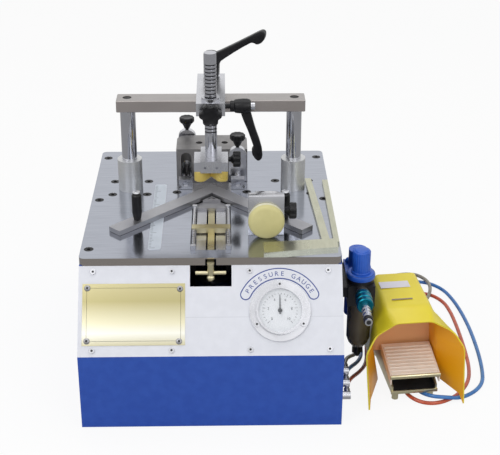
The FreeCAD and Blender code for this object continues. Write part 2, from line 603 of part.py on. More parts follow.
def pusher():
    """The spring-loaded bar that feeds nails, its pull tongue with the T handle, and springs."""
    low = s.table_top - s.rail_drop + s.bar_slack
    front = measured(s.bar_front)
    back = front + s.bar_depth
    tongue_top = UNDER + 1 + s.tongue_gauge
    bar = block("bar_block", (-s.bar_half, s.bar_half), (front, back), (low, low + s.bar_height))
    boss = block("bar_boss", (-s.tongue_half, s.tongue_half), (front, back), (tongue_top, low + 1))
    bores = [disc(word + "_bar_bore", s.guide_radius + s.running_slack, (side * s.guide_across, GUIDE_Z),
                  (front - 1, back + 1), "Y") for side, word in ((1, "right"), (-1, "left"))]
    node(cut("bar_cut", fuse("bar_whole", [bar, boss]), bores), "pusher_bar")
    centre = LIP - s.handle_front
    tongue = block("tongue", (-s.tongue_half, s.tongue_half), (centre, measured(s.head_front) - s.bar_slack),
                   (UNDER + 1, tongue_top))
    stem = disc("handle_stem", s.handle_radius, (0, centre), (tongue_top - s.handle_drop, tongue_top))
    pin = disc("handle_pin", s.handle_pin_radius, (centre, tongue_top - s.handle_drop * 2 / 3),
               (-s.handle_pin_half, s.handle_pin_half), "X")
    knob = ball("handle_knob", s.handle_ball, 0, centre, tongue_top - s.handle_drop)
    node(fuse("handle_whole", [tongue, stem, pin, knob]), "pull_handle")
    springs = [pusher_spring(side, word, front) for side, word in ((1, "right"), (-1, "left"))]
    node(together("spring_pair", springs), "pusher_springs")


def pusher_spring(side, word, front):
    """A coil spring round one guide rod, wound as quarter turns of a steady climb."""
    start = float(GUIDE_Y[0] + s.bracket_depth) + float(s.spring_wire) + 0.1
    length = float(front) - start - float(s.spring_wire) - 0.1
    radius = float(s.spring_radius)
    steps = int(s.spring_turns.value * 4)
    centre = Vector(side * float(s.guide_across), 0, float(GUIDE_Z))

    def on_coil(turn):
        angle = 2 * math.pi * turn
        return centre + Vector(radius * math.cos(angle), start + length * turn * 4 / steps, radius * math.sin(angle))

    arcs = [Part.Arc(on_coil(k / 4), on_coil(k / 4 + 1 / 8), on_coil((k + 1) / 4)).toShape()
            for k in range(steps)]
    path = Part.Wire(arcs)
    way = path.Edges[0].tangentAt(path.Edges[0].FirstParameter)
    ring = Part.Wire([Part.Circle(on_coil(0), way, float(s.spring_wire)).toShape()])
    coil = path.makePipeShell([ring], True, False)
    pitch = length * 4 / steps
    print("%s spring: %d turns, least gap to itself %.2f mm" % (word, steps / 4, pitch - 2 * s.spring_wire.value))
    spring = doc.addObject("Part::Feature", word + "_spring")
    spring.Shape = coil
    return spring


def fence():
    """The V bar that the frame's corner lies against, its two grips and the carriage."""
    low = s.table_top + s.fence_lift
    top = low + s.fence_gauge
    apex = measured(s.fence_apex)
    bar = extrusion("fence_bar", "XY", chevron(apex, s.fence_width, s.fence_reach), s.fence_gauge, shift=low)
    node(bar, "v_fence")
    grip_y = apex - s.grip_across + s.fence_width / DIAGONAL
    grips = []
    for side, word in ((1, "right"), (-1, "left")):
        radius = s.grip_radius
        grip = turned(word + "_grip", [
            (0, 0), (radius * 0.7, 0), (radius * 0.8, radius * 0.4), (radius, radius * 1.6),
            (radius, s.grip_height - s.grip_cap), (radius * 0.8, s.grip_height - s.grip_cap / 2),
            (radius * 0.75, s.grip_height), (0, s.grip_height)])
        grips.append(put(grip, side * s.grip_across, grip_y, top))
    node(together("grip_pair", grips), "fence_handles")
    outer = apex + s.fence_width * DIAGONAL
    wide = s.carriage_half
    back = measured(s.block_front + s.block_depth)
    yoke = extrusion("carriage_yoke", "XY", [(-wide, outer - wide), (0, outer), (wide, outer - wide), (wide, back),
                                             (-wide, back)], s.carriage_gauge, shift=low)
    front = measured(s.block_front)
    pieces = [yoke]
    bores = []
    for side, word in ((1, "right"), (-1, "left")):
        middle = side * s.shaft_across
        pieces.append(block(word + "_shaft_block", (middle - s.block_width / 2, middle + s.block_width / 2),
                            (front, back), (low, low + s.block_height)))
        bores.append(disc(word + "_block_bore", s.shaft_radius, (middle, SHAFT_Z),
                          (front - 1, back + 1), "Y"))
    node(cut("carriage_cut", fuse("carriage_whole", pieces), bores), "fence_carriage")
    shafts = [disc(word + "_shaft", s.shaft_radius, (side * s.shaft_across, SHAFT_Z),
                   (front + s.shaft_sink, front + s.shaft_sink + s.shaft_length), "Y")
              for side, word in ((1, "right"), (-1, "left"))]
    node(together("shaft_pair", shafts), "guide_shafts")


def bridge():
    """The rear casting that carries the bushes of the fence's shafts."""
    front = measured(s.bridge_front)
    back = front + s.bridge_depth
    mass = block("bridge_block", (-s.bridge_half, s.bridge_half), (front, back), (s.table_top, BRIDGE_TOP))

    def rear_corner(edge):
        return upright(edge) and edge.Vertexes[0].Point.y > float(front) + 1

    mass = soften("bridge_rounded", mass, s.bridge_corner, rear_corner)
    tools = []
    for side, word in ((1, "right"), (-1, "left")):
        middle = side * s.shaft_across
        spring_line = ARCH_TOP - s.arch_half
        tools.append(block(word + "_arch", (middle - s.arch_half, middle + s.arch_half),
                           (front - 1, front + s.arch_depth), (s.table_top - 1, spring_line)))
        tools.append(disc(word + "_arch_head", s.arch_half, (middle, spring_line),
                          (front - 1, front + s.arch_depth), "Y"))
        tools.append(disc(word + "_bush_hole", s.shaft_radius + s.bush_wall, (middle, SHAFT_Z),
                          (front, back + 1), "Y"))
        x, y, seat = bridge_screw_place(side)
        tools.append(disc(word + "_cap_bore", s.cap_bore_radius, (x, y), (seat, BRIDGE_TOP + 1)))
        tools.append(disc(word + "_cap_hole", s.stud_radius + s.screw_slack, (x, y), (s.table_top - 1, seat + 1)))
    node(cut("bridge_cut", mass, tools), "rear_bridge")


def bushes():
    """Bronze bushes of the two guide shafts and of the two columns."""
    bridge_y = (measured(s.bridge_front) + s.arch_depth, measured(s.bridge_front + s.bridge_depth))
    rings = []
    for side, word in ((1, "right"), (-1, "left")):
        at = (side * s.shaft_across, SHAFT_Z)
        outer = disc(word + "_bush_outer", s.shaft_radius + s.bush_wall, at, bridge_y, "Y")
        bore = disc(word + "_bush_bore", s.shaft_radius + s.running_slack, at,
                    (bridge_y[0] - 1, bridge_y[1] + 1), "Y")
        rings.append(cut(word + "_shaft_bush", outer, [bore]))
        at = (side * s.column_across, COLUMN_Y)
        height = (UNDER - s.sleeve_drop, s.table_top + s.sleeve_height)
        outer = disc(word + "_column_bush_outer", BORE + s.bush_wall, at, height)
        bore = disc(word + "_column_bush_bore", BORE, at, (height[0] - 1, height[1] + 1))
        rings.append(cut(word + "_column_bush", outer, [bore]))
    node(together("bush_set", rings), "bronze_bushes")


def column_housings():
    """Sleeves that stand through the table on flanges screwed to its underside."""
    housings = []
    for side, word in ((1, "right"), (-1, "left")):
        x = side * s.column_across
        sleeve = disc(word + "_sleeve", s.sleeve_radius, (x, COLUMN_Y),
                      (UNDER - s.sleeve_drop, s.table_top + s.sleeve_height))
        half_x = s.column_screw_x + s.flange_margin
        half_y = s.column_screw_y + s.flange_margin
        flange = block(word + "_column_flange", (x - half_x, x + half_x), (COLUMN_Y - half_y, COLUMN_Y + half_y),
                       (UNDER - s.column_flange, UNDER))
        bore = disc(word + "_sleeve_bore", BORE + s.bush_wall, (x, COLUMN_Y),
                    (UNDER - s.sleeve_drop - 1, s.table_top + s.sleeve_height + 1))
        near = [spot for spot in COLUMN_SCREWS if float(spot[0]) * side > 0]
        holes = screw_holes(word + "_flange_hole", near)
        housings.append(cut(word + "_housing", fuse(word + "_housing_whole", [sleeve, flange]), [bore] + holes))
    node(together("housing_pair", housings), "column_housings")


def press_bridge():
    """Crossbar, columns and the yoke below the table: the frame that the air pulls down."""
    half = s.crossbar_depth / 2
    bar = block("crossbar_block", (-CROSSBAR_HALF, CROSSBAR_HALF), (COLUMN_Y - half, COLUMN_Y + half),
                (CROSSBAR_LOW, CROSSBAR_TOP))
    doc.recompute()
    eased = doc.addObject("Part::Chamfer", "crossbar_eased")
    eased.Base = bar
    eased.Edges = [(i, 1.0, 1.0) for i in range(1, 13)]
    seat = CROSSBAR_TOP - s.cap_bore_drop
    tools = []
    columns = []
    screws = []
    for side, word in ((1, "right"), (-1, "left")):
        at = (side * s.column_across, COLUMN_Y)
        tools.append(disc(word + "_crossbar_bore", s.screw_head_radius, at, (seat, CROSSBAR_TOP + 1)))
        tools.append(disc(word + "_crossbar_hole", s.screw_radius + s.screw_slack, at,
                          (CROSSBAR_LOW - 1, seat + 1)))
        column = disc(word + "_column_bar", s.column_radius, at, (YOKE_TOP, CROSSBAR_LOW))
        thread = disc(word + "_column_thread", s.screw_radius + s.screw_slack, at,
                      (CROSSBAR_LOW - s.screw_length, CROSSBAR_LOW + 1))
        columns.append(cut(word + "_column", column, [thread]))
        head = disc(word + "_column_screw_head", s.screw_head_radius - s.screw_slack, at,
                    (seat, CROSSBAR_TOP - 1))
        shank = disc(word + "_column_screw_shank", s.screw_radius, at,
                     (CROSSBAR_LOW - s.screw_length + 1, seat))
        screws.append(fuse(word + "_column_screw", [head, shank]))
    key_top = CROSSBAR_TOP + s.arm_gauge + s.arm_slack
    tools.append(disc("key_hole", s.key_half - s.arm_slack, (0, COLUMN_Y), (CROSSBAR_TOP - s.arm_gauge, key_top)))
    node(cut("crossbar_cut", eased, tools), "crossbar")
    node(together("column_pair", columns), "columns")
    shoulder = disc("key_shoulder", s.key_half - s.arm_slack, (0, COLUMN_Y),
                    (CROSSBAR_TOP - s.arm_gauge, key_top))
    cap = disc("key_cap", s.screw_head_radius, (0, COLUMN_Y), (key_top, key_top + s.panel_screw_dome))
    screws.append(fuse("key_screw", [shoulder, cap]))
    node(together("bridge_screw_set", screws), "bridge_screws")
    half = s.yoke_depth / 2
    beam = block("yoke_beam", (-CROSSBAR_HALF, CROSSBAR_HALF), (COLUMN_Y - half, COLUMN_Y + half),
                 (YOKE_TOP - s.yoke_height, YOKE_TOP))
    clamp_y = BLADE_Y + 2 * s.cylinder_radius + s.cylinder_gap
    low = YOKE_TOP - s.yoke_height
    rest = s.floor_gauge + s.cylinder_cap + s.clamp_stroke + s.piston_height
    piston = disc("clamp_piston", s.cylinder_radius - s.cylinder_wall - s.running_slack, (0, clamp_y),
                  (rest, rest + s.piston_height))
    rod = disc("clamp_rod", s.piston_rod_radius, (0, clamp_y), (rest + s.piston_height, low))
    node(together("yoke_set", [beam, fuse("clamp_piston_rod", [piston, rod])]), "lower_yoke")


def cylinders():
    """Two equal upright air cylinders on the cabinet's floor: nail driver and clamp."""
    drums = []
    for word, y in (("driver", BLADE_Y), ("clamp", BLADE_Y + 2 * s.cylinder_radius + s.cylinder_gap)):
        top = s.floor_gauge + s.cylinder_height
        drum = disc(word + "_drum", s.cylinder_radius, (0, y), (s.floor_gauge, top))
        room = disc(word + "_room", s.cylinder_radius - s.cylinder_wall, (0, y),
                    (s.floor_gauge + s.cylinder_cap, top - s.cylinder_cap))
        gland = disc(word + "_gland", s.piston_rod_radius + s.running_slack, (0, y),
                     (top - s.cylinder_cap - 1, top + 1))
        drums.append(cut(word + "_cylinder", drum, [room, gland]))
    node(together("cylinder_pair", drums), "air_cylinders")
    low = s.floor_gauge + s.cylinder_cap + s.piston_height
    y = BLADE_Y
    piston = disc("driver_piston_disc", s.cylinder_radius - s.cylinder_wall - s.running_slack, (0, y),
                  (low, low + s.piston_height))
    rod = disc("driver_rod", s.piston_rod_radius, (0, y), (low + s.piston_height, BLADE_LOW))
    blade = extrusion("driver_blade", "XY", blade_outline(0), BLADE_TOP - BLADE_LOW, shift=BLADE_LOW)
    node(together("driver_set", [fuse("driver_piston_rod", [piston, rod]), blade]), "driver_piston")


def lobed(name, radius, at, reach, axis):
    """A grip knob whose rim is a ring of equal lobes."""
    lobe = radius * 0.32
    pieces = [disc(name + "_core", radius * 0.78, at, reach, axis)]
    count = 5
    for i in range(count):
        angle = 2 * math.pi * (i + 0.25) / count
        spot = (at[0] + (radius - lobe) * math.cos(angle), at[1] + (radius - lobe) * math.sin(angle))
        pieces.append(disc("%s_lobe_%d" % (name, i), lobe, spot, reach, axis))
    return pieces


def stops():
    """Two clamps on the fence's shafts that limit its travel, each locked by a thumb knob."""
    front = measured(s.bridge_front)
    places = ((1, "right", front - s.fence_play - s.stop_gauge),
              (-1, "left", front + s.bridge_depth + s.fence_play))
    for side, word, low in places:
        middle = side * s.shaft_across
        shoulder = STOP_TOP - s.stop_half
        cheek = block(word + "_stop_cheek", (middle - s.stop_half, middle + s.stop_half),
                      (low, low + s.stop_gauge), (s.table_top + s.stop_lift, shoulder))
        crown = disc(word + "_stop_crown", s.stop_half, (middle, shoulder), (low, low + s.stop_gauge), "Y")
        bore = disc(word + "_stop_bore", s.shaft_radius + s.running_slack, (middle, SHAFT_Z),
                    (low - 1, low + s.stop_gauge + 1), "Y")
        stud_bore = disc(word + "_stud_bore", s.stud_radius + s.running_slack, (middle, low + s.stop_gauge / 2),
                         (SHAFT_Z, STOP_TOP + 1))
        node(cut(word + "_stop_cut", fuse(word + "_stop_whole", [cheek, crown]), [bore, stud_bore]),
             word + "_stop")
        at = (middle, low + s.stop_gauge / 2)
        stud = disc(word + "_stud", s.stud_radius, at,
                    (SHAFT_Z + s.shaft_radius + s.bar_slack, STOP_TOP + 5))
        knob_top = STOP_TOP + s.stop_knob_height
        rim = knob_top - s.stop_knob_rim
        grip = lobed(word + "_thumb", s.stop_knob_radius, at, (rim, knob_top - 1), "Z")
        cone = taper(word + "_thumb_cone", s.stud_radius + 1, s.stop_knob_radius * 0.76, at, (STOP_TOP + 4, rim))
        cap = disc(word + "_thumb_cap", s.stop_knob_radius * 0.7, at, (rim, knob_top))
        node(fuse(word + "_knob_whole", [stud, cone, cap] + grip), word + "_stop_knob")


ROD_Y = measured(s.rod_back)
ARM_TOP = CROSSBAR_TOP + s.arm_gauge
ARM_LOW = CROSSBAR_TOP - s.arm_block_drop
LEVER_Y = measured(s.lever_back)


def clamp_arm():
    """The sliding arm on the crossbar: slotted plate, a block at each end and the rod's collar."""
    front = measured(s.arm_front)
    back = front + s.arm_length
    plate = block("arm_plate", (-s.arm_half, s.arm_half), (front, back), (CROSSBAR_TOP, ARM_TOP))
    nose = block("arm_front_block", (-s.arm_half, s.arm_half), (front, front + s.arm_block_depth - 0.5),
                 (ARM_LOW, CROSSBAR_TOP + 1))
    tail = block("arm_rear_block", (-s.arm_half, s.arm_half), (back - s.arm_rear_block, back),
                 (ARM_LOW, CROSSBAR_TOP + 1))
    collar = disc("arm_collar", s.rod_radius + s.collar_wall, (0, ROD_Y), (ARM_TOP - 1, ARM_TOP + s.collar_rise))
    slot_low = COLUMN_Y
    slot_high = COLUMN_Y + s.arm_travel
    half = s.key_half
    tools = [block("key_slot", (-half, half), (slot_low, slot_high), (CROSSBAR_TOP - 1, ARM_TOP + 1)),
             disc("key_slot_front", half, (0, slot_low), (CROSSBAR_TOP - 1, ARM_TOP + 1)),
             disc("key_slot_back", half, (0, slot_high), (CROSSBAR_TOP - 1, ARM_TOP + 1)),
             disc("rod_bore", s.rod_radius + s.running_slack, (0, ROD_Y), (ARM_LOW - 1, ARM_TOP + 20)),
             disc("lever_bore", s.stud_bore, (0, LEVER_Y), (ARM_LOW - 1, ARM_TOP + 1)),
             disc("side_lever_bore", s.stud_bore, (ROD_Y, SIDE_LEVER_Z), (0, s.arm_half + 1), "X"),
             disc("front_knob_bore", s.stud_bore, (0, KNOB_Z), (front - 1, ROD_Y), "Y")]
    node(cut("arm_cut", fuse("arm_whole", [plate, nose, tail, collar]), tools), "clamp_arm")


def press_rod():
    """The height rod, ringed with grooves, the holder on its foot and the pad below."""
    rod = disc("rod_bar", s.rod_radius, (0, ROD_Y), (HOLDER_LOW + s.rod_lift, ROD_TOP))
    tools = []
    for i in range(int(s.groove_count.value)):
        z = ROD_TOP - s.groove_drop - i * s.groove_pitch
        outer = disc("groove_outer_%d" % i, s.rod_radius + 1, (0, ROD_Y), (z - s.groove_width, z))
        inner = disc("groove_inner_%d" % i, s.rod_radius - s.groove_depth, (0, ROD_Y),
                     (z - s.groove_width - 1, z + 1))
        tools.append(cut("groove_%d" % i, outer, [inner]))
    node(cut("rod_cut", rod, tools), "press_rod")
    wide = block("holder_wide", (-s.holder_half, s.holder_half),
                 (measured(s.holder_front), measured(s.holder_front + s.holder_depth)),
                 (HOLDER_LOW, HOLDER_LOW + s.holder_wing))
    boss = block("holder_boss", (-s.boss_half, s.boss_half),
                 (measured(s.boss_front), measured(s.boss_front + s.boss_depth)),
                 (HOLDER_LOW, HOLDER_LOW + s.boss_height))
    seat = disc("holder_seat", s.rod_radius, (0, ROD_Y), (HOLDER_LOW + s.rod_lift, HOLDER_LOW + s.boss_height + 1))
    knob_bore = disc("holder_knob_bore", s.stud_bore, (measured(s.pad_knob_back), (HOLDER_LOW + s.pad_knob_rise)),
                     (0, s.holder_half + 1), "X")
    holes = [disc(word + "_front_hole", s.panel_screw_radius, (side * s.boss_half * 0.55, (HOLDER_LOW + s.pad_knob_rise)),
                  (measured(s.boss_front) - 1, measured(s.boss_front) + 8), "Y")
             for side, word in ((1, "right"), (-1, "left"))]
    node(cut("holder_cut", fuse("holder_whole", [wide, boss]), [seat, knob_bore] + holes), "pad_holder")
    y = measured(s.holder_front)
    half = s.holder_half
    points = [(-half, y + 2), (-12, y - 2), (0, y + 22), (12, y - 2), (half, y + 2), (half, y + 32),
              (14, y + 44), (-14, y + 44), (-half, y + 32)]
    pad = extrusion("pad_shape", "XY", points, s.pad_height, shift=HOLDER_LOW - s.pad_height)

    def outer_corner(edge):
        return upright(edge) and abs(edge.Vertexes[0].Point.x) > 1

    node(soften("pad_rounded", pad, s.pad_round, outer_corner), "press_pad")


def top_lever():
    """Clamping lever that locks the arm on the crossbar, lying to the right in the photograph."""
    base = ARM_TOP
    hub = turned("top_lever_hub", [(0, 0), (s.lever_hub_radius, 0), (s.lever_hub_radius, s.lever_hub_height - 6),
                                   (s.lever_hub_radius - 3, s.lever_hub_height - 1),
                                   (s.lever_hub_radius - 5, s.lever_hub_height), (0, s.lever_hub_height)])
    arm = extrusion("top_lever_arm", "XZ", lever_profile(), s.lever_width, middle=True)
    stud = disc("top_lever_stud", s.stud_bore - s.running_slack, (0, 0), (-18, 1))
    lever = together("top_lever_seated", [fuse("top_lever_whole", [hub, arm, stud])])
    node(put(lever, 0, LEVER_Y, base, axis=(0, 0, 1), angle=s.lever_turn), "top_lever")


def lever_profile():
    """Side view of the clamping lever, out from its hub: slanted neck, grip and hooked end."""
    return [(s.lever_hub_radius / 2, 42.6), (48.3, 66.5), (77.6, 81.8), (87.3, 83.4), (s.lever_reach, 78.8),
            (89, 70.5), (84.2, 64.4), (76.1, 60.5), (67.9, 64.8), (40.1, 46.1), (15, 21.5),
            (s.lever_hub_radius + 1.2, 1.1), (s.lever_hub_radius / 2, 1.1)]


def side_lever():
    """Clamping lever that locks the rod's height, hanging at the right of the arm."""
    start = s.side_hub_start
    end = start + s.side_hub_length
    at = (ROD_Y, SIDE_LEVER_Z)
    stud = disc("side_lever_stud", s.stud_bore - s.running_slack, at, (s.rod_radius + s.bar_slack, start + 1), "X")
    hub = disc("side_lever_hub", s.side_hub_radius, at, (start, end), "X")
    cap = disc("side_lever_cap", s.stud_bore, at, (end - 1, end + 5), "X")
    profile = [(17, 0), (17, 10), (27.6, 39.5), (37, 68), (33.9, 71.4), (33.9, 78), (43.4, 90), (49.7, 85),
               (49.6, 73), (40, 39.5), (32, 10), (32, 0)]
    points = [(start + out, SIDE_LEVER_Z - drop) for out, drop in profile]
    arm = extrusion("side_lever_arm", "XZ", points, s.side_lever_width, shift=-ROD_Y, middle=True)
    node(fuse("side_lever_whole", [stud, hub, cap, arm]), "side_lever")


def star_knobs():
    """Hand knobs: one clamps the rod from the front, one clamps the pad in its holder."""
    front = measured(s.arm_front)
    at = (0, KNOB_Z)
    stud = disc("front_knob_stud", s.stud_bore - s.running_slack, at,
                (front - 4, ROD_Y - s.rod_radius - s.bar_slack), "Y")
    grip = lobed("front_star", s.knob_radius, at, (front - 3 - s.knob_depth, front - 3), "Y")
    cap = disc("front_star_cap", s.knob_radius * 0.55, at, (front - 3 - s.knob_stem - s.knob_depth, front - 3), "Y")
    node(fuse("front_knob_whole", [stud, cap] + grip), "front_knob")
    at = (measured(s.pad_knob_back), (HOLDER_LOW + s.pad_knob_rise))
    start = s.pad_knob_start
    stud = disc("pad_knob_stud", s.stud_bore - s.running_slack, at, (s.rod_radius, start + 1), "X")
    grip = lobed("pad_star", s.pad_knob_radius, at, (start, start + 14), "X")
    cap = disc("pad_star_cap", s.pad_knob_radius * 0.6, at, (start, start + 18.5), "X")
    node(fuse("pad_knob_whole", [stud, cap] + grip), "pad_knob")


AIR_X = SIDE + s.air_out
AIR_Y = measured(s.air_back)
LUB_Y = measured(s.lub_back)


def air_set():
    """Filter with regulator, lubricator, and the hose coupler, all on one bracket."""
    out = s.side_bracket
    plate = block("air_plate", (SIDE, SIDE + out), (AIR_Y - 24, LUB_Y + 24), (126, 215))
    rib = block("air_rib", (SIDE, SIDE + 13), (AIR_Y - 16, LUB_Y + 16), (156, 172))
    outlet_z = s.coupler_height - 17
    pass_hole = disc("air_pass_hole", s.nipple_radius + s.screw_slack, (LUB_Y, outlet_z), (SIDE - 1, SIDE + 20), "X")
    node(cut("air_bracket_cut", fuse("air_bracket_whole", [plate, rib]), [pass_hole]), "air_bracket")
    half = s.air_body_half
    top = s.air_body_top
    low = top - s.air_body_height
    body = block("air_body", (AIR_X - half, AIR_X + half), (AIR_Y - half, AIR_Y + half), (low, top))
    ring = disc("air_ring", s.air_ring_radius, (AIR_X, AIR_Y), (top - 1, top + s.air_ring_height))
    neck = disc("air_neck", s.air_knob_radius - 3, (AIR_X, AIR_Y), (top, top + s.air_ring_height + 4))
    node(fuse("air_body_whole", [body, ring, neck]), "regulator_body")
    knob_low = top + s.air_ring_height + s.bar_slack
    knob_top = knob_low + s.air_knob_height
    grip = disc("air_grip", s.air_knob_radius, (AIR_X, AIR_Y), (knob_low, knob_top))
    room = disc("air_grip_room", s.air_knob_radius - 3 + s.bar_slack, (AIR_X, AIR_Y), (knob_low - 1, knob_low + 5))
    node(cut("air_grip_cut", grip, [room]), "regulator_knob")
    bowl = turned("bowl_turn", [
        (0, 0), (s.bowl_radius * 0.55, 0), (s.bowl_radius - 3, 7), (s.bowl_radius, 16),
        (s.bowl_radius, s.bowl_height), (s.bowl_radius - 2, s.bowl_height), (s.bowl_radius - 2, 17),
        (s.bowl_radius - 5, 9), (s.bowl_radius * 0.5, 2), (0, 2)])
    bowl_low = low - s.bowl_height
    drain_bore = disc("bowl_drain_bore", s.drain_radius * 0.6 + s.running_slack, (0, 0), (-1, 3))
    bowl = together("bowl_seated", [cut("bowl_cut", bowl, [drain_bore])])
    node(put(bowl, AIR_X, AIR_Y, bowl_low), "filter_bowl")
    wing = block("drain_wing", (AIR_X - s.drain_radius * 1.6, AIR_X + s.drain_radius * 1.6),
                 (AIR_Y - 2, AIR_Y + 2), (bowl_low - s.drain_height * 0.7, bowl_low - 5))
    stem = disc("drain_stem", s.drain_radius * 0.6, (AIR_X, AIR_Y), (bowl_low - s.drain_height, bowl_low + 3))
    core = disc("drain_core", s.drain_radius, (AIR_X, AIR_Y), (bowl_low - s.drain_height * 0.8, bowl_low - s.bar_slack))
    node(fuse("drain_whole", [stem, core, wing]), "drain_cock")
    oiler = block("oiler_body", (AIR_X - half, AIR_X + half), (AIR_Y + half, LUB_Y + half), (low, top))
    cap = disc("oiler_cap", s.lub_cap_radius, (AIR_X, LUB_Y), (top - 1, s.lub_cap_top))
    dome = ball("oiler_dome", 6, AIR_X - 12, LUB_Y + 10, top + 2)
    pot = disc("oiler_pot", s.bowl_radius, (AIR_X, LUB_Y), (low - s.bowl_height + 30, low + 1))
    outlet = disc("oiler_outlet", s.nipple_radius, (LUB_Y, outlet_z), (SIDE, AIR_X - half + 1), "X")
    node(fuse("oiler_whole", [oiler, cap, dome, pot, outlet]), "lubricator_body")
    at = (AIR_X + 1, s.coupler_height)
    face = AIR_Y - half
    nipple = disc("coupler_nipple", s.nipple_radius, at, (face - s.coupler_length - s.nipple_length, face), "Y")
    collar = disc("coupler_collar", s.coupler_radius - 3, at, (face - 6, face), "Y")
    beads = [disc("nipple_bead_%d" % i, s.nipple_radius + 1, at,
                  (face - s.coupler_length - 12 - 9 * i, face - s.coupler_length - 8 - 9 * i), "Y")
             for i in range(4)]
    node(fuse("coupler_socket_whole", [nipple, collar] + beads), "coupler_socket")
    sleeve = disc("coupler_sleeve_bar", s.coupler_radius, at, (face - s.coupler_length, face - 10), "Y")
    room = disc("coupler_sleeve_room", s.nipple_radius + s.running_slack, at, (face - s.coupler_length - 1, face), "Y")
    node(cut("coupler_sleeve_cut", sleeve, [room]), "coupler_sleeve")


def guard_section(name, v, points):
    """One closed cross-section of the guard, across the foot valve at a place along it."""
    sketch = doc.addObject("Sketcher::SketchObject", name)
    sketch.Placement = Placement(Vector(0, float(v), 0), Rotation(Vector(1, 0, 0), 90))
    gauge = s.guard_gauge.value
    outer = points
    inner = [(points[0][0] - gauge * 1.1, 0)]
    inner += [(x - gauge * 0.9, z - gauge * 0.5) for x, z in points[1:-1]]
    inner += [(points[-1][0], points[-1][1] - gauge)]
    right = outer + [(x, z) for x, z in reversed(inner)]
    left = [(-x, z) for x, z in reversed(right)]
    ring = outer + [(-x, z) for x, z in reversed(outer)] + [(-x, z) for x, z in inner]
    ring += [(x, z) for x, z in reversed(inner)]
    spots = [Vector(float(x), float(z), 0) for x, z in ring]
    for i in range(len(spots)):
        sketch.addGeometry(Part.LineSegment(spots[i], spots[(i + 1) % len(spots)]), False)
    for i in range(len(spots)):
        sketch.addConstraint(Sketcher.Constraint("Coincident", i, 2, (i + 1) % len(spots), 1))
    return sketch


def foot_guard():
    """Flared steel hood over the treadle, open in front and behind, with a raked mouth."""
    waist = s.guard_waist_half.value
    top = s.guard_top.value
    mouth = s.guard_mouth_half.value
    rim = [(mouth, 0, 0), (mouth + 2.5, 25, 82), (mouth - 13.5, 35, 107), (mouth - 45.5, 40, s.guard_mouth_top.value)]
    mid = [(waist, 0), (waist - 5, 80), (waist - 8.5, top - 19), (waist - 16, top - 1)]
    front_v = -10
    mid_v = 66
    first = []
    for (x, v, z), (mx, mz) in zip(rim, mid):
        share = (mid_v - front_v) / (mid_v - v)
        first.append((mx + (x - mx) * share, mz + (z - mz) * share))
    last = [(40, 0), (37, 80), (34, top - 16), (26, top + 1)]
    sections = [guard_section("guard_front_section", front_v, first), guard_section("guard_waist", mid_v, mid),
                guard_section("guard_rear_section", s.guard_length, last)]
    shell = doc.addObject("Part::Loft", "guard_shell")
    shell.Sections = sections
    shell.Solid = True
    shell.Ruled = True
    rake = extrusion("guard_rake", "YZ", [(-60, -1), (-0.3, -1), (41, 128), (41, 160), (-60, 160)], 300, middle=True)
    lift = s.guard_lift
    start = s.guard_spike
    sweep = s.guard_sweep
    notch = extrusion("guard_notch", "YZ", [(start, -1), (s.guard_length + 1, -1), (s.guard_length + 1, lift),
                                            (start + sweep, lift)], 4 * s.guard_mouth_half, middle=True)
    node(in_pedal(cut("guard_cut", shell, [rake, notch])), "pedal_guard")


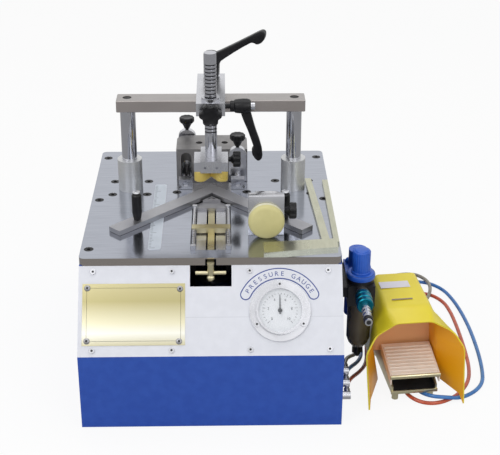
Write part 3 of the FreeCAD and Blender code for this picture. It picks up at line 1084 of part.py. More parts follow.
def foot_valve():
    """Channel base, ribbed treadle on its pin, valve block and the plunger that it pushes."""
    front = s.base_front
    back = front + s.base_length
    low = s.base_lift
    half = s.base_half
    gauge = s.base_gauge
    hinge_v = s.treadle_front + s.treadle_length
    hinge_z = s.treadle_front_z + s.treadle_rise - s.treadle_gauge - s.hinge_drop
    wall_top = low + s.base_wall
    side_view = [(front, low), (back, low), (back, wall_top), (front + s.base_length * 0.3, wall_top),
                 (front, low + s.base_nose)]
    floor = block("base_floor", (-half, half), (front, back), (low, low + gauge))
    pieces = [floor]
    for side, word in ((1, "right"), (-1, "left")):
        near = span(side, half - gauge, half)
        pieces.append(extrusion(word + "_base_wall", "YZ", side_view, gauge, shift=near[0]))
        pieces.append(block(word + "_base_ear", near, (hinge_v - s.hinge_eye, hinge_v + s.hinge_eye), (low, hinge_z)))
        pieces.append(disc(word + "_hinge_eye", s.hinge_eye, (hinge_v, hinge_z), near, "X"))
        pieces.append(disc(word + "_guard_pin", 3, (back - 25, low + 16),
                           span(side, half - 1, s.guard_waist_half - s.guard_pin_short), "X"))
        for i, v in enumerate((front + 8, back - 8)):
            pieces.append(disc("%s_foot_%d" % (word, i), 5, (side * (half - 8), v), (0, low + 1)))
    bore = disc("base_pin_bore", s.treadle_pin_radius + s.running_slack, (hinge_v, hinge_z), (-half - 1, half + 1), "X")
    node(in_pedal(cut("base_cut", fuse("base_whole", pieces), [bore])), "pedal_base")
    wide = s.treadle_half
    rear_z = s.treadle_front_z + s.treadle_rise
    top = [(s.treadle_front, s.treadle_front_z), (hinge_v + 3, rear_z), (hinge_v + 3, rear_z - s.treadle_gauge),
           (s.treadle_front, s.treadle_front_z - s.treadle_gauge)]
    plate = extrusion("treadle_plate", "YZ", top, 2 * wide, middle=True)
    skirt = [(s.treadle_front, s.treadle_front_z), (hinge_v + 3, rear_z), (hinge_v + 3, hinge_z - s.treadle_gauge),
             (s.treadle_front, s.treadle_front_z - s.treadle_skirt)]
    parts = [plate]
    for side, word in ((1, "right"), (-1, "left")):
        low_x = wide - 2 if side > 0 else -wide
        parts.append(extrusion(word + "_skirt", "YZ", skirt, 2, shift=low_x))
    ribs = 9
    run = s.treadle_length - 10
    for i in range(ribs):
        v = s.treadle_front + 4 + run * (i / (ribs - 1))
        z = s.treadle_front_z + s.treadle_rise * ((4 + run.value * i / (ribs - 1)) / s.treadle_length.value)
        parts.append(disc("treadle_rib_%d" % i, 1.5, (v, z), (-wide + 3, wide - 3), "X"))
    parts.append(disc("treadle_pin", s.treadle_pin_radius, (hinge_v, hinge_z), (-wide + 1, wide - 1), "X"))
    parts.append(block("treadle_tail", (-6, 6), (hinge_v - 4, hinge_v + 2),
                       (hinge_z - s.tail_drop, rear_z - s.treadle_gauge)))
    node(in_pedal(fuse("treadle_whole", parts)), "treadle")
    valve_front = hinge_v + 14
    valve = block("valve_block", (-s.valve_half, s.valve_half), (valve_front, valve_front + s.valve_length),
                  (low + gauge, low + gauge + s.valve_height))
    at = (0, hinge_z - s.spool_drop)
    bore = disc("spool_bore", s.spool_radius + s.running_slack, at, (valve_front - 1, valve_front + s.spool_reach + 6), "Y")
    node(in_pedal(cut("valve_cut", valve, [bore])), "foot_valve")
    spool = disc("spool", s.spool_radius, at, (hinge_v + 2 + s.bar_slack, valve_front + s.spool_reach), "Y")
    node(in_pedal(spool), "valve_plunger")


def pedal_place(u, v):
    """The X and Y in the shared frame of a place in the foot valve's frame, as numbers."""
    turn = math.radians(s.pedal_turn.value)
    x = s.pedal_x.value + float(u) * math.cos(turn) - float(v) * math.sin(turn)
    y = s.pedal_y.value + float(u) * math.sin(turn) + float(v) * math.cos(turn)
    return x, y


def fittings():
    """Elbows on the cabinet's wall and straight fittings on the foot valve."""
    pieces = []
    for i, (y, z) in enumerate(HOSE_EXITS):
        x = SIDE + s.fitting_out
        stub = disc("elbow_stub_%d" % i, s.fitting_radius, (y, z), (SIDE, x + 4), "X")
        spout = disc("elbow_spout_%d" % i, s.fitting_radius - 1.5, (x, z), (y, y + s.fitting_spout), "Y")
        pieces.append(fuse("elbow_%d" % i, [stub, spout]))
    hinge_v = s.treadle_front + s.treadle_length
    rear = hinge_v + 14 + s.valve_length
    pieces.append(in_pedal(disc("valve_port", s.fitting_radius, (0, s.foot_valve_port),
                                (rear, rear + s.fitting_length), "Y")))
    for side, word in ((1, "right"), (-1, "left")):
        u = side * s.foot_fitting_across
        v = s.foot_fitting_front
        barrel = disc(word + "_foot_barrel", s.fitting_radius - 0.5, (u, s.foot_fitting_z), (v, v + s.foot_fitting), "Y")
        stem = disc(word + "_foot_stem", 4, (u, v + s.foot_fitting / 2), (s.foot_fitting_z, s.base_lift))
        pieces.append(in_pedal(fuse(word + "_foot_fitting", [barrel, stem])))
    node(together("fitting_set", pieces), "hose_fittings")


FLOOR_Z = 3.2
GREY_ROUTE = [(203, -141, 50), (213, -112, 37), (225, -80, 20), (231, -42, 7), (233, 2, FLOOR_Z),
              (236, 50, FLOOR_Z), (246, 100, FLOOR_Z), (264, 147, FLOOR_Z), (290, 186, FLOOR_Z), (325, 208, 7),
              (362, 205, 10.4), (382, 176, 10.4), (380, 138, 10.4), (361, 100, 6), (336, 66, 4), (314, 31, 10),
              (299, -4, 22)]
BLUE_ROUTE = [(203, -160, 41), (213, -131, 30), (228, -98, 18), (238, -60, 7), (240, -15, FLOOR_Z),
              (243, 32, FLOOR_Z), (254, 80, FLOOR_Z), (275, 126, FLOOR_Z), (305, 162, FLOOR_Z), (340, 187, FLOOR_Z),
              (377, 188, FLOOR_Z), (404, 162, FLOOR_Z), (416, 124, FLOOR_Z), (423, 80, FLOOR_Z), (427, 32, FLOOR_Z),
              (428, -16, FLOOR_Z), (427, -62, FLOOR_Z), (424, -103, FLOOR_Z), (418, -138, FLOOR_Z),
              (401, -163, FLOOR_Z), (376.5, -179.5, FLOOR_Z), (353, -189.3, 11.6), (330.2, -186.2, 11.6),
              (315, -169.3, 8.2), (311, -149.5, 6.9)]
ORANGE_ROUTE = [(203, -179, 32), (213, -151, 24), (229, -120, 14), (243, -84, 6), (248, -42, FLOOR_Z),
                (252, 3, FLOOR_Z), (263, 48, FLOOR_Z), (283, 92, FLOOR_Z), (311, 128, FLOOR_Z), (345, 149, FLOOR_Z),
                (379, 143, FLOOR_Z), (399, 115, FLOOR_Z), (405, 78, FLOOR_Z), (407, 37, FLOOR_Z), (407.5, -6, FLOOR_Z),
                (407, -50, FLOOR_Z), (405, -92, FLOOR_Z), (398, -130, FLOOR_Z), (382, -160, FLOOR_Z),
                (362, -181, FLOOR_Z), (338, -193, FLOOR_Z), (316, -190.7, FLOOR_Z), (298.8, -177, 5),
                (291.4, -156.5, 6.4)]


def hose(name, points):
    """A plain tube along straight runs joined by the largest tangent arcs that they allow."""
    spots = [Vector(*point) for point in points]
    edges = []
    radii = []
    here = spots[0]
    for i in range(1, len(spots) - 1):
        back = spots[i - 1] - spots[i]
        ahead = spots[i + 1] - spots[i]
        reach = 0.45 * min(back.Length, ahead.Length)
        turn = math.pi - back.getAngle(ahead)
        radii.append(reach / math.tan(turn / 2))
        back.normalize()
        ahead.normalize()
        start = spots[i] + back * reach
        end = spots[i] + ahead * reach
        inward = back + ahead
        inward.normalize()
        middle = spots[i] + inward * (radii[-1] / math.cos(turn / 2) - radii[-1])
        edges.append(Part.makeLine(here, start))
        edges.append(Part.Arc(start, middle, end).toShape())
        here = end
    edges.append(Part.makeLine(here, spots[-1]))
    path = Part.Wire(edges)
    ring = Part.Wire([Part.Circle(spots[0], spots[1] - spots[0], s.hose_radius.value).toShape()])
    tube = path.makePipeShell([ring], True, False)
    expected = math.pi * s.hose_radius.value ** 2 * path.Length
    print("%s: length %.0f mm, least radius %.0f mm, lowest %.2f, volume %.4f of the expected"
          % (name, path.Length, min(radii), tube.optimalBoundingBox().ZMin, tube.Volume / expected))
    thing = doc.addObject("Part::Feature", name + "_tube")
    thing.Shape = tube
    node(thing, name)


def hoses():
    x = float(SIDE + s.fitting_out)
    starts = [(x, float(y + s.fitting_spout), float(z)) for y, z in HOSE_EXITS]
    rear = s.treadle_front + s.treadle_length + 14 + s.valve_length + s.fitting_length
    hose("grey_hose", [starts[2]] + GREY_ROUTE + [pedal_place(0, rear) + (float(s.foot_valve_port),)])
    right = pedal_place(s.foot_fitting_across, s.foot_fitting_front) + (float(s.foot_fitting_z),)
    left = pedal_place(-s.foot_fitting_across, s.foot_fitting_front) + (float(s.foot_fitting_z),)
    hose("blue_hose", [starts[1]] + BLUE_ROUTE + [right])
    hose("orange_hose", [starts[0]] + ORANGE_ROUTE + [left])


def accessories():
    """Things that lie on the table: a second pad in its holder and the long nail guides."""
    front = measured(s.spare_front)
    back = front + s.spare_pad_depth
    half = s.spare_half
    plate = block("spare_plate", (s.spare_x - half, s.spare_x + half), (back, back + s.spare_depth),
                  (s.table_top, s.table_top + s.spare_height))
    boss = block("spare_boss", (s.spare_x - s.boss_half, s.spare_x + s.boss_half),
                 (back + 1, back + s.spare_depth + 5), (s.table_top, s.table_top + s.spare_height - 4))
    at = (back + s.spare_depth / 2, s.table_top + s.spare_knob_rise)
    start = s.spare_x + s.spare_knob_start
    stud = disc("spare_stud", 4, at, (s.spare_x, start + 1), "X")
    grip = lobed("spare_star", s.pad_knob_radius, at, (start, start + 14), "X")
    cap = disc("spare_star_cap", s.pad_knob_radius * 0.6, at, (start, start + 18), "X")
    node(fuse("spare_whole", [plate, boss, stud, cap] + grip), "spare_holder")
    pad = disc("spare_pad_disc", s.spare_pad_radius, (s.spare_x, s.table_top + s.spare_pad_rise), (front, back), "Y")
    node(pad, "spare_pad")
    back = measured(s.guide_back + s.channel_front + s.channel_depth)
    front = back - s.guide_length
    x = s.inner_bar_x
    slant = s.inner_bar_slant
    inner = extrusion("inner_guide", "XY", [(x, back), (x + s.inner_bar_width, back), (x + slant + s.inner_bar_width, front),
                                            (x + slant - 2, front)], s.guide_bar_gauge, shift=s.table_top)
    x = s.outer_bar_x
    outer = extrusion("outer_guide", "XY", [(x, back - 6), (x + s.outer_bar_width, back - 6),
                                            (x + s.outer_bar_width, front), (x + 1, front)],
                      s.guide_bar_gauge, shift=s.table_top)
    x = s.channel_x
    low = measured(s.channel_front)
    high = low + s.channel_depth
    half = s.channel_half
    channel = extrusion("guide_channel", "XY", [(x - half, low), (x + half, low + s.channel_slant), (x + half, high + 11),
                                                (x - half, high)], s.guide_bar_gauge, shift=s.table_top)
    node(fuse("guide_whole", [inner, outer, channel]), "nail_guides")


for make in (cabinet, front_panel, pressure_gauge, table, table_screws, magazine, nail_head, pusher, cylinders,
             column_housings, bushes, press_bridge, clamp_arm, press_rod, top_lever, side_lever, star_knobs,
             fence, bridge, stops, air_set, foot_guard, foot_valve, fittings, hoses, accessories):
    make()
doc.recompute()

broken = [thing.Name + " " + str(thing.State) for thing in doc.Objects
          if "Invalid" in thing.State or "Error" in thing.State]
for piece in NODES:
    shape = piece.Shape
    if shape.isNull() or not shape.isValid() or shape.Volume <= 0:
        broken.append(piece.Label + " has no valid solid")
if broken:
    raise RuntimeError("not built: " + "; ".join(broken))

os.makedirs("parts", exist_ok=True)
for piece in NODES:
    piece.Shape.exportStep("parts/%s.step" % piece.Label)
print("%d nodes written" % len(NODES))
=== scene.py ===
# %% [markdown]
# # A picture frame underpinner
# An underpinner stands on a framer's bench and drives V-shaped nails up into a mitred corner.
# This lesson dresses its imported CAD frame: every rigid piece is already there at its real size,
# and each cell adds one finish or one piece that needs a softer shape than the CAD solid has.

# %% Tools for the whole lesson
import math

import bmesh
import bpy
from mathutils import Matrix, Vector


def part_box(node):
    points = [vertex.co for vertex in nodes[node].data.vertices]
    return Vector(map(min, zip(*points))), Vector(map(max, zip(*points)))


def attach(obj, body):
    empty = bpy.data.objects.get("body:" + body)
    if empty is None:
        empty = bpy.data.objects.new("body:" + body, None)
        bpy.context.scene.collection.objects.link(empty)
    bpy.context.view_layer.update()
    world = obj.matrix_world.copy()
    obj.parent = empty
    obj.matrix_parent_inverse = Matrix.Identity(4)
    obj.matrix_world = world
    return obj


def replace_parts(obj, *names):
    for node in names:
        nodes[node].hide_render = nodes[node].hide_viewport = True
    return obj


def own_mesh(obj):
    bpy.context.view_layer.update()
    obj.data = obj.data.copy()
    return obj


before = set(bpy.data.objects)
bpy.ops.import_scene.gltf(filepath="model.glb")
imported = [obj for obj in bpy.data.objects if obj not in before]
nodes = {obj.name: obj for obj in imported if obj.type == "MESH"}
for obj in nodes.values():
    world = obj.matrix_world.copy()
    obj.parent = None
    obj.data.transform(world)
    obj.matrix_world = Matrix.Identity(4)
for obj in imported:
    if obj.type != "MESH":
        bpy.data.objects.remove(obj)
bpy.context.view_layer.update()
print("CAD nodes:", len(nodes))

# %% [markdown]
# ## The camera
# The photograph looks down at the machine from the front, a little over a metre and a half away.
# Its place, its tilt and its lens were worked out from the table's straight edges. The camera's
# three axes are built from two turns, which keeps the numbers readable.

# %% Camera at the photograph's angle
CAMERA_PLACE = Vector((0.0233, -1.6984, 1.0390))
CAMERA_DOWN = math.radians(26.13)
CAMERA_TO_RIGHT = math.radians(1.24)
CAMERA_ROLL = math.radians(0.15)
LENS_MM = 86.76


def aim_camera():
    """Place the camera by its view direction, with a slight roll."""
    ahead = Vector((math.sin(CAMERA_TO_RIGHT) * math.cos(CAMERA_DOWN),
                    math.cos(CAMERA_TO_RIGHT) * math.cos(CAMERA_DOWN), -math.sin(CAMERA_DOWN)))
    level = Vector((math.cos(CAMERA_TO_RIGHT), -math.sin(CAMERA_TO_RIGHT), 0))
    upright = level.cross(ahead)
    right = math.cos(CAMERA_ROLL) * level + math.sin(CAMERA_ROLL) * upright
    up = math.cos(CAMERA_ROLL) * upright - math.sin(CAMERA_ROLL) * level
    turn = Matrix((right, up, -ahead)).transposed().to_4x4()
    data = bpy.data.cameras.new("photo_camera")
    data.lens = LENS_MM
    data.sensor_width = 36
    data.clip_end = 20
    camera = bpy.data.objects.new("photo_camera", data)
    camera.matrix_world = Matrix.Translation(CAMERA_PLACE) @ turn
    bpy.context.scene.collection.objects.link(camera)
    bpy.context.scene.camera = camera
    return camera


aim_camera()
print("camera stands at", tuple(CAMERA_PLACE))

# %% [markdown]
# ## Finishes
# Every finish starts from one Principled shader. Its steady values sit on the shader's own
# sockets, and only what really varies over a surface comes from nodes. The helpers below each
# add one thing that a real surface has: cloudiness of tone, uneven gloss, and fine relief.


# %% Helpers for finishes
def linear(colour):
    """Turn a colour as seen on a screen, 0 to 255, into a shader's own numbers."""
    parts = [channel / 255 for channel in colour]
    return [p / 12.92 if p <= 0.04045 else ((p + 0.055) / 1.055) ** 2.4 for p in parts]


def finish(name, colour, metallic=0.0, roughness=0.5, **steady):
    """A new material, with every steady value set on the shader itself."""
    material = bpy.data.materials.new(name)
    material.use_nodes = True
    shader = material.node_tree.nodes["Principled BSDF"]
    shader.inputs["Base Color"].default_value = (*linear(colour), 1)
    shader.inputs["Metallic"].default_value = metallic
    shader.inputs["Roughness"].default_value = roughness
    for socket, value in steady.items():
        shader.inputs[socket.replace("_", " ")].default_value = value
    return material


def shader_of(material):
    """The one shader that every finish is built on."""
    return material.node_tree.nodes["Principled BSDF"]


def cloud(material, scale, detail=3.0, stretch=(1, 1, 1)):
    """Noise over the object's own coordinates, stretched where the real marks are long."""
    tree = material.node_tree
    places = tree.nodes.new("ShaderNodeTexCoord")
    mapping = tree.nodes.new("ShaderNodeMapping")
    mapping.inputs["Scale"].default_value = stretch
    noise = tree.nodes.new("ShaderNodeTexNoise")
    noise.inputs["Scale"].default_value = scale
    noise.inputs["Detail"].default_value = detail
    tree.links.new(places.outputs["Object"], mapping.inputs["Vector"])
    tree.links.new(mapping.outputs["Vector"], noise.inputs["Vector"])
    return noise.outputs["Fac"]


def rescale(tree, value, low, high, start=0.0, end=1.0):
    """Stretch what lies between low and high onto start to end."""
    node = tree.nodes.new("ShaderNodeMapRange")
    for socket, number in zip(("From Min", "From Max", "To Min", "To Max"), (low, high, start, end)):
        node.inputs[socket].default_value = number
    tree.links.new(value, node.inputs["Value"])
    return node.outputs["Result"]


def ramp(tree, factor, stops):
    """Colours laid out along a factor, as pairs of a place and a colour."""
    node = tree.nodes.new("ShaderNodeValToRGB")
    while len(node.color_ramp.elements) < len(stops):
        node.color_ramp.elements.new(0.5)
    for element, (place, colour) in zip(node.color_ramp.elements, stops):
        element.position = place
        element.color = (*linear(colour), 1)
    tree.links.new(factor, node.inputs["Fac"])
    return node.outputs["Color"]


def tones(material, factor, dark, light, low=0.35, high=0.65):
    """Let the base colour wander between two tones."""
    tree = material.node_tree
    colour = ramp(tree, factor, [(low, dark), (high, light)])
    tree.links.new(colour, shader_of(material).inputs["Base Color"])


def gloss(material, factor, smooth, rough, low=0.3, high=0.7):
    """Let the roughness wander between two values."""
    tree = material.node_tree
    tree.links.new(rescale(tree, factor, low, high, smooth, rough), shader_of(material).inputs["Roughness"])


def relief(material, factor, depth, strength=0.6):
    """Raise and sink the surface by a real depth in metres."""
    tree = material.node_tree
    bump = tree.nodes.new("ShaderNodeBump")
    bump.inputs["Strength"].default_value = strength
    bump.inputs["Distance"].default_value = depth
    tree.links.new(factor, bump.inputs["Height"])
    tree.links.new(bump.outputs["Normal"], shader_of(material).inputs["Normal"])


def wear(name, colour, spread, metallic, smooth, rough, scale, depth, stretch=(1, 1, 1), **steady):
    """A whole finish: two tones about one colour, uneven gloss and, with a depth, fine relief.

    Tone changes over wider patches than the relief does, and gloss over wider ones still.
    """
    material = finish(name, colour, metallic, (smooth + rough) / 2, **steady)
    dark = [max(0, c - spread) for c in colour]
    light = [min(255, c + spread) for c in colour]
    patches, wide_patches = scale / 6, scale / 10
    tones(material, cloud(material, patches, 2.0, stretch), dark, light)
    gloss(material, cloud(material, wide_patches, 1.0), smooth, rough)
    if depth > 0:
        relief(material, cloud(material, scale, 4.0, stretch), depth)
    return material


print("a white of 255 is", linear((255,)), "to the shader")

# %% [markdown]
# ## Paints and plastics
# The cabinet is folded sheet steel with a satin powder coat, whose faint orange peel shows as
# a soft ripple in the highlights. The knobs and levers are moulded in black, slightly grained.
# The numbers after a name are its colour, the spread of its tone, how much of a metal it is, its
# least and greatest roughness, the noise's scale and the relief's depth in metres.

# %% Paints and plastics
cabinet_blue = wear("cabinet_blue_powder", (30, 77, 174), 3, 0.0, 0.34, 0.42, 420, 0.00002)
panel_white = wear("panel_white_powder", (226, 228, 236), 2, 0.0, 0.32, 0.42, 420, 0.00001)
moulded_black = wear("moulded_black", (12, 12, 16), 3, 0.0, 0.30, 0.44, 900, 0.00002,
                     Specular_IOR_Level=0.32)
body_black = wear("housing_black", (24, 23, 26), 4, 0.0, 0.34, 0.48, 700, 0.00003,
                  Specular_IOR_Level=0.4)
knob_blue = wear("regulator_blue_plastic", (40, 94, 196), 4, 0.0, 0.28, 0.38, 600, 0.00001)
dial_paint = wear("dial_white_print", (244, 245, 247), 2, 0.0, 0.40, 0.50, 500, 0.000002)
# Black for printed marks, and also painted shade in the screw sockets and the nipple's bore.
ink_and_shade_black = finish("ink_and_shade_black", (28, 28, 30), 0.0, 0.55)
ink_blue = finish("ink_blue", (34, 62, 140), 0.0, 0.50)
soft_black = wear("rubber_black", (16, 16, 18), 3, 0.0, 0.55, 0.70, 600, 0.00002)
print("paints:", cabinet_blue.name, panel_white.name, moulded_black.name)

# %% [markdown]
# ## The foot guard's enamel
# The hood is brushed with a thick glossy yellow enamel outside. Inside it is a darker orange, which
# is painted shade and the yellow's own light bounced back. One sheet has both sides, so the finish
# asks whether the surface faces the treadle in the hood's middle: a line from there to the surface
# and the surface's own direction then point together or against each other.


# %% The guard's enamel, with painted shade inside
def combine(tree, operation, first, second, kind="Math"):
    """One step of arithmetic on an output and another output or a steady value."""
    node = tree.nodes.new("ShaderNode" + kind)
    node.operation = operation
    tree.links.new(first, node.inputs[0])
    if isinstance(second, bpy.types.NodeSocket):
        tree.links.new(second, node.inputs[1])
    else:
        node.inputs[1].default_value = second
    return node


def mixed(tree, factor, first, second):
    """Go from a plain colour to another output as the factor grows."""
    node = tree.nodes.new("ShaderNodeMix")
    node.data_type = "RGBA"
    node.inputs["A"].default_value = (*linear(first), 1)
    tree.links.new(factor, node.inputs["Factor"])
    tree.links.new(second, node.inputs["B"])
    return node.outputs["Result"]


HOOD_MIDDLE = (0.300, -0.115, 0.060)
EDGE_BLEND = 0.004


def enamel_with_painted_inner_shade():
    """Yellow where the sheet faces away from the treadle's line, painted orange shade where it faces it."""
    material = finish("enamel_with_painted_inner_shade", (232, 212, 40), 0.0, 0.34, Coat_Weight=0.2, Coat_Roughness=0.2)
    tree = material.node_tree
    place = tree.nodes.new("ShaderNodeTexCoord").outputs["Object"]
    normal = tree.nodes.new("ShaderNodeNewGeometry").outputs["True Normal"]
    from_middle = combine(tree, "SUBTRACT", place, HOOD_MIDDLE, "VectorMath").outputs["Vector"]
    facing = combine(tree, "DOT_PRODUCT", from_middle, normal, "VectorMath").outputs["Value"]
    outside = rescale(tree, facing, -EDGE_BLEND, EDGE_BLEND)
    streaks = cloud(material, 45, 4.0, (1, 1, 0.5))
    yellow = ramp(tree, streaks, [(0, (230, 208, 30)), (1, (238, 220, 52))])
    # Painted shade: the inside of the hood gets a darker orange in place of the yellow.
    yellow_and_painted_shade = mixed(tree, outside, (240, 168, 10), yellow)
    tree.links.new(yellow_and_painted_shade, shader_of(material).inputs["Base Color"])
    relief(material, cloud(material, 160, 3.0), 0.00012)
    return material


guard_yellow_and_painted_shade = enamel_with_painted_inner_shade()
print("guard enamel ready")

# %% [markdown]
# ## Metals
# Ground plate keeps the grinder's long marks, so its noise is stretched along X. Turned pieces
# have rings, and chrome has almost nothing. These marks are too fine to stand up as relief here,
# so they only change the tone. A metal's colour is the tint of its mirror image, so most of what
# the eye reads as grey comes from the studio around it.

# %% Metals
ground_plate = wear("ground_plate", (168, 172, 182), 4, 1.0, 0.12, 0.18, 200, 0, (0.6, 14, 14))
machined_steel = wear("machined_steel", (164, 160, 158), 3, 0.95, 0.28, 0.36, 260, 0, (0.8, 8, 8))
bright_zinc = wear("bright_zinc", (198, 199, 204), 3, 1.0, 0.22, 0.32, 240, 0)
dull_steel = wear("dull_steel", (166, 166, 170), 4, 0.9, 0.32, 0.42, 260, 0)
hard_chrome = wear("hard_chrome", (190, 191, 197), 2, 1.0, 0.09, 0.13, 200, 0)
turned_alloy = wear("turned_alloy", (204, 205, 206), 3, 0.85, 0.36, 0.44, 300, 0, (1, 1, 10))
black_oxide = wear("black_oxide", (30, 30, 33), 4, 0.6, 0.34, 0.50, 400, 0.00002)
cast_grey = wear("cast_grey", (140, 138, 138), 5, 0.8, 0.40, 0.50, 420, 0.00002)
spring_wire = wear("spring_wire", (120, 120, 124), 5, 1.0, 0.24, 0.36, 400, 0)
pale_brass = wear("pale_brass", (206, 198, 164), 4, 1.0, 0.26, 0.36, 240, 0)
teal_alloy = wear("teal_anodised_alloy", (20, 112, 132), 6, 0.9, 0.26, 0.36, 400, 0.000006)
ribbed_alloy = wear("ribbed_alloy", (236, 222, 208), 4, 0.10, 0.40, 0.52, 260, 0.00001)
guide_steel = wear("guide_steel", (188, 188, 168), 4, 1.0, 0.24, 0.34, 220, 0, (6, 1, 6))
print("metals ready")

# %% [markdown]
# ## Painted reflection on the front edges
# The table's front edge and the crossbar's front face mirror the darker surroundings in front of
# the machine, so they look darker and warmer than the ground tops. That reflection is painted: the
# finish reads which way the surface faces and mixes in another tone there.


# %% Painted reflection on the front edges
def axis_of(tree, vector, axis):
    """One coordinate of a vector."""
    split = tree.nodes.new("ShaderNodeSeparateXYZ")
    tree.links.new(vector, split.inputs["Vector"])
    return split.outputs[axis]


def painted_front_reflection(material, front):
    """Mix in another tone where the surface faces the operator, as a painted reflection."""
    tree = material.node_tree
    socket = shader_of(material).inputs["Base Color"]
    normal = tree.nodes.new("ShaderNodeNewGeometry").outputs["True Normal"]
    away = rescale(tree, axis_of(tree, normal, "Y"), -0.9, -0.3)
    tree.links.new(mixed(tree, away, front, socket.links[0].from_socket), socket)


# Painted reflection: a darker, warmer tone on the faces that look to the front.
painted_front_reflection(ground_plate, (176, 169, 164))
painted_front_reflection(machined_steel, (176, 169, 166))
print("front faces toned on", ground_plate.name, "and", machined_steel.name)

# %% [markdown]
# ## The nameplate's brass
# A polished plate mirrors the bright paper in front of it and the darker room above it. On the
# slope this gives a soft change of tone from its foot to its top, which is painted into the colour
# as a ramp over the height: a painted reflection.


# %% Brass with a painted reflection that changes with its height
def painted_reflection_metal(name, low, high, stops):
    """A polished metal whose tone follows its height, as a painted reflection."""
    material = finish(name, stops[0][1], 1.0, 0.28)
    tree = material.node_tree
    place = tree.nodes.new("ShaderNodeTexCoord").outputs["Object"]
    height = rescale(tree, axis_of(tree, place, "Z"), low, high)
    tree.links.new(ramp(tree, height, stops), shader_of(material).inputs["Base Color"])
    return material


# Painted reflection: the brass's tone is laid out by height, bright near the foot, darker higher up.
plate_brass = painted_reflection_metal("plate_brass", 0.133, 0.203,
                    [(0, (198, 192, 160)), (0.2, (236, 235, 224)), (0.36, (224, 219, 190)),
                     (0.72, (180, 171, 126)), (1, (192, 184, 142))])
print("brass ready:", plate_brass.name)

# %% [markdown]
# ## See-through and rubbery finishes
# The pressing pad is cast polyurethane: light goes in, scatters and leaves warmer, so it gets
# some transmission. The filter's bowl is smoky, and
# the gauge has a plain clear window.

# %% See-through and rubbery finishes
amber_rubber = wear("amber_polyurethane", (238, 212, 112), 6, 0.0, 0.22, 0.34, 200, 0.00001,
                    Transmission_Weight=0.30, IOR=1.48)
cream_rubber = wear("cream_polyurethane", (214, 206, 146), 4, 0.0, 0.40, 0.52, 260, 0.00001)
pale_rim = wear("pale_polyurethane", (226, 224, 200), 4, 0.0, 0.38, 0.50, 260, 0.00004)
clear_window = finish("clear_window", (236, 242, 250), 0.0, 0.04, Alpha=0.13)
smoky_bowl = wear("smoky_polycarbonate", (134, 122, 98), 8, 0.0, 0.14, 0.22, 200, 0.00001,
                  Transmission_Weight=0.5, IOR=1.4)
hose_finishes = {
    "blue": wear("hose_blue", (52, 116, 186), 8, 0.0, 0.26, 0.36, 500, 0.00002, Coat_Weight=0.2),
    "orange": wear("hose_orange", (196, 84, 50), 8, 0.0, 0.26, 0.36, 500, 0.00002, Coat_Weight=0.2),
    "grey": wear("hose_grey", (142, 136, 122), 8, 0.0, 0.26, 0.36, 500, 0.00002, Coat_Weight=0.2),
}
print("rubbers, window, bowl and", len(hose_finishes), "hose finishes ready")

# %% [markdown]
# ## Dressing the CAD pieces
# The CAD meshes already have the right shape for every machined or folded piece, so they only
# need the finish that their real counterpart has.

# %% Finishes for the CAD pieces
CAD_FINISHES = {
    cabinet_blue: ["cabinet_shell"],
    panel_white: ["front_panel"],
    ground_plate: ["table_plate"],
    machined_steel: ["crossbar"],
    bright_zinc: ["panel_screws", "magazine_guides", "coupler_socket", "hose_fittings", "lower_yoke",
                  "driver_piston", "valve_plunger", "clamp_arm", "pad_holder", "gauge_case",
                  "fence_carriage", "right_stop", "left_stop"],
    dull_steel: ["v_fence", "nail_head"],
    pale_brass: ["pusher_bar", "pull_handle", "pedal_base"],
    hard_chrome: ["columns", "press_rod", "guide_shafts"],
    turned_alloy: ["bronze_bushes", "column_housings", "air_cylinders", "foot_valve"],
    black_oxide: ["table_screws", "bridge_screws", "magazine_rails", "air_bracket"],
    cast_grey: ["rear_bridge"],
    body_black: ["regulator_body", "drain_cock"],
    knob_blue: ["lubricator_body"],
    dial_paint: ["gauge_dial"],
    clear_window: ["gauge_lens"],
    smoky_bowl: ["filter_bowl"],
    ribbed_alloy: ["treadle"],
    guide_steel: ["nail_guides"],
    moulded_black: ["fence_handles"],
}


def dress(node, material):
    """Give a CAD node one material in place of its plain one."""
    node.data.materials.clear()
    node.data.materials.append(material)


for material, names in CAD_FINISHES.items():
    for name in names:
        dress(nodes[name], material)
print("dressed", sum(len(names) for names in CAD_FINISHES.values()), "CAD nodes")

# %% [markdown]
# ## The studio
# A pale floor, a white surround and three soft lamps stand in for the product photographer's
# light tent. The floor shows as white to the camera, yet it still takes the machine's shadow,
# because only part of it glows. In a mirror it is grey, as the room beyond the paper's edge was.
# That gives chrome and glass the dark edges that make them read as polished.


# %% Studio: surround, floor and lamps
TENT_AS_LIGHT = 0.52
FLOOR_GLOW = 0.9
FLOOR_IN_MIRROR = 0.42
FLOOR_REACH = 6


def surround():
    """White to the eye and in reflections, a little dimmer as a light."""
    world = bpy.data.worlds.new("light_tent")
    bpy.context.scene.world = world
    world.use_nodes = True
    tree = world.node_tree
    background = tree.nodes["Background"]
    rays = tree.nodes.new("ShaderNodeLightPath").outputs
    seen = combine(tree, "MAXIMUM", rays["Is Camera Ray"], rays["Is Glossy Ray"]).outputs["Value"]
    seen = combine(tree, "MAXIMUM", seen, rays["Is Transmission Ray"]).outputs["Value"]
    tree.links.new(rescale(tree, seen, 0, 1, TENT_AS_LIGHT, 1.0), background.inputs["Strength"])
    background.inputs["Color"].default_value = (1, 1, 1, 1)


def glow(tree, strength):
    """A light of the surface's own."""
    emission = tree.nodes.new("ShaderNodeEmission")
    emission.inputs["Strength"].default_value = strength
    return emission.outputs["Emission"]


def blend(tree, factor, first, second):
    """Go from one shader to another as the factor grows."""
    node = tree.nodes.new("ShaderNodeMixShader")
    for socket, output in zip(node.inputs, (factor, first, second)):
        tree.links.new(output, socket)
    return node.outputs["Shader"]


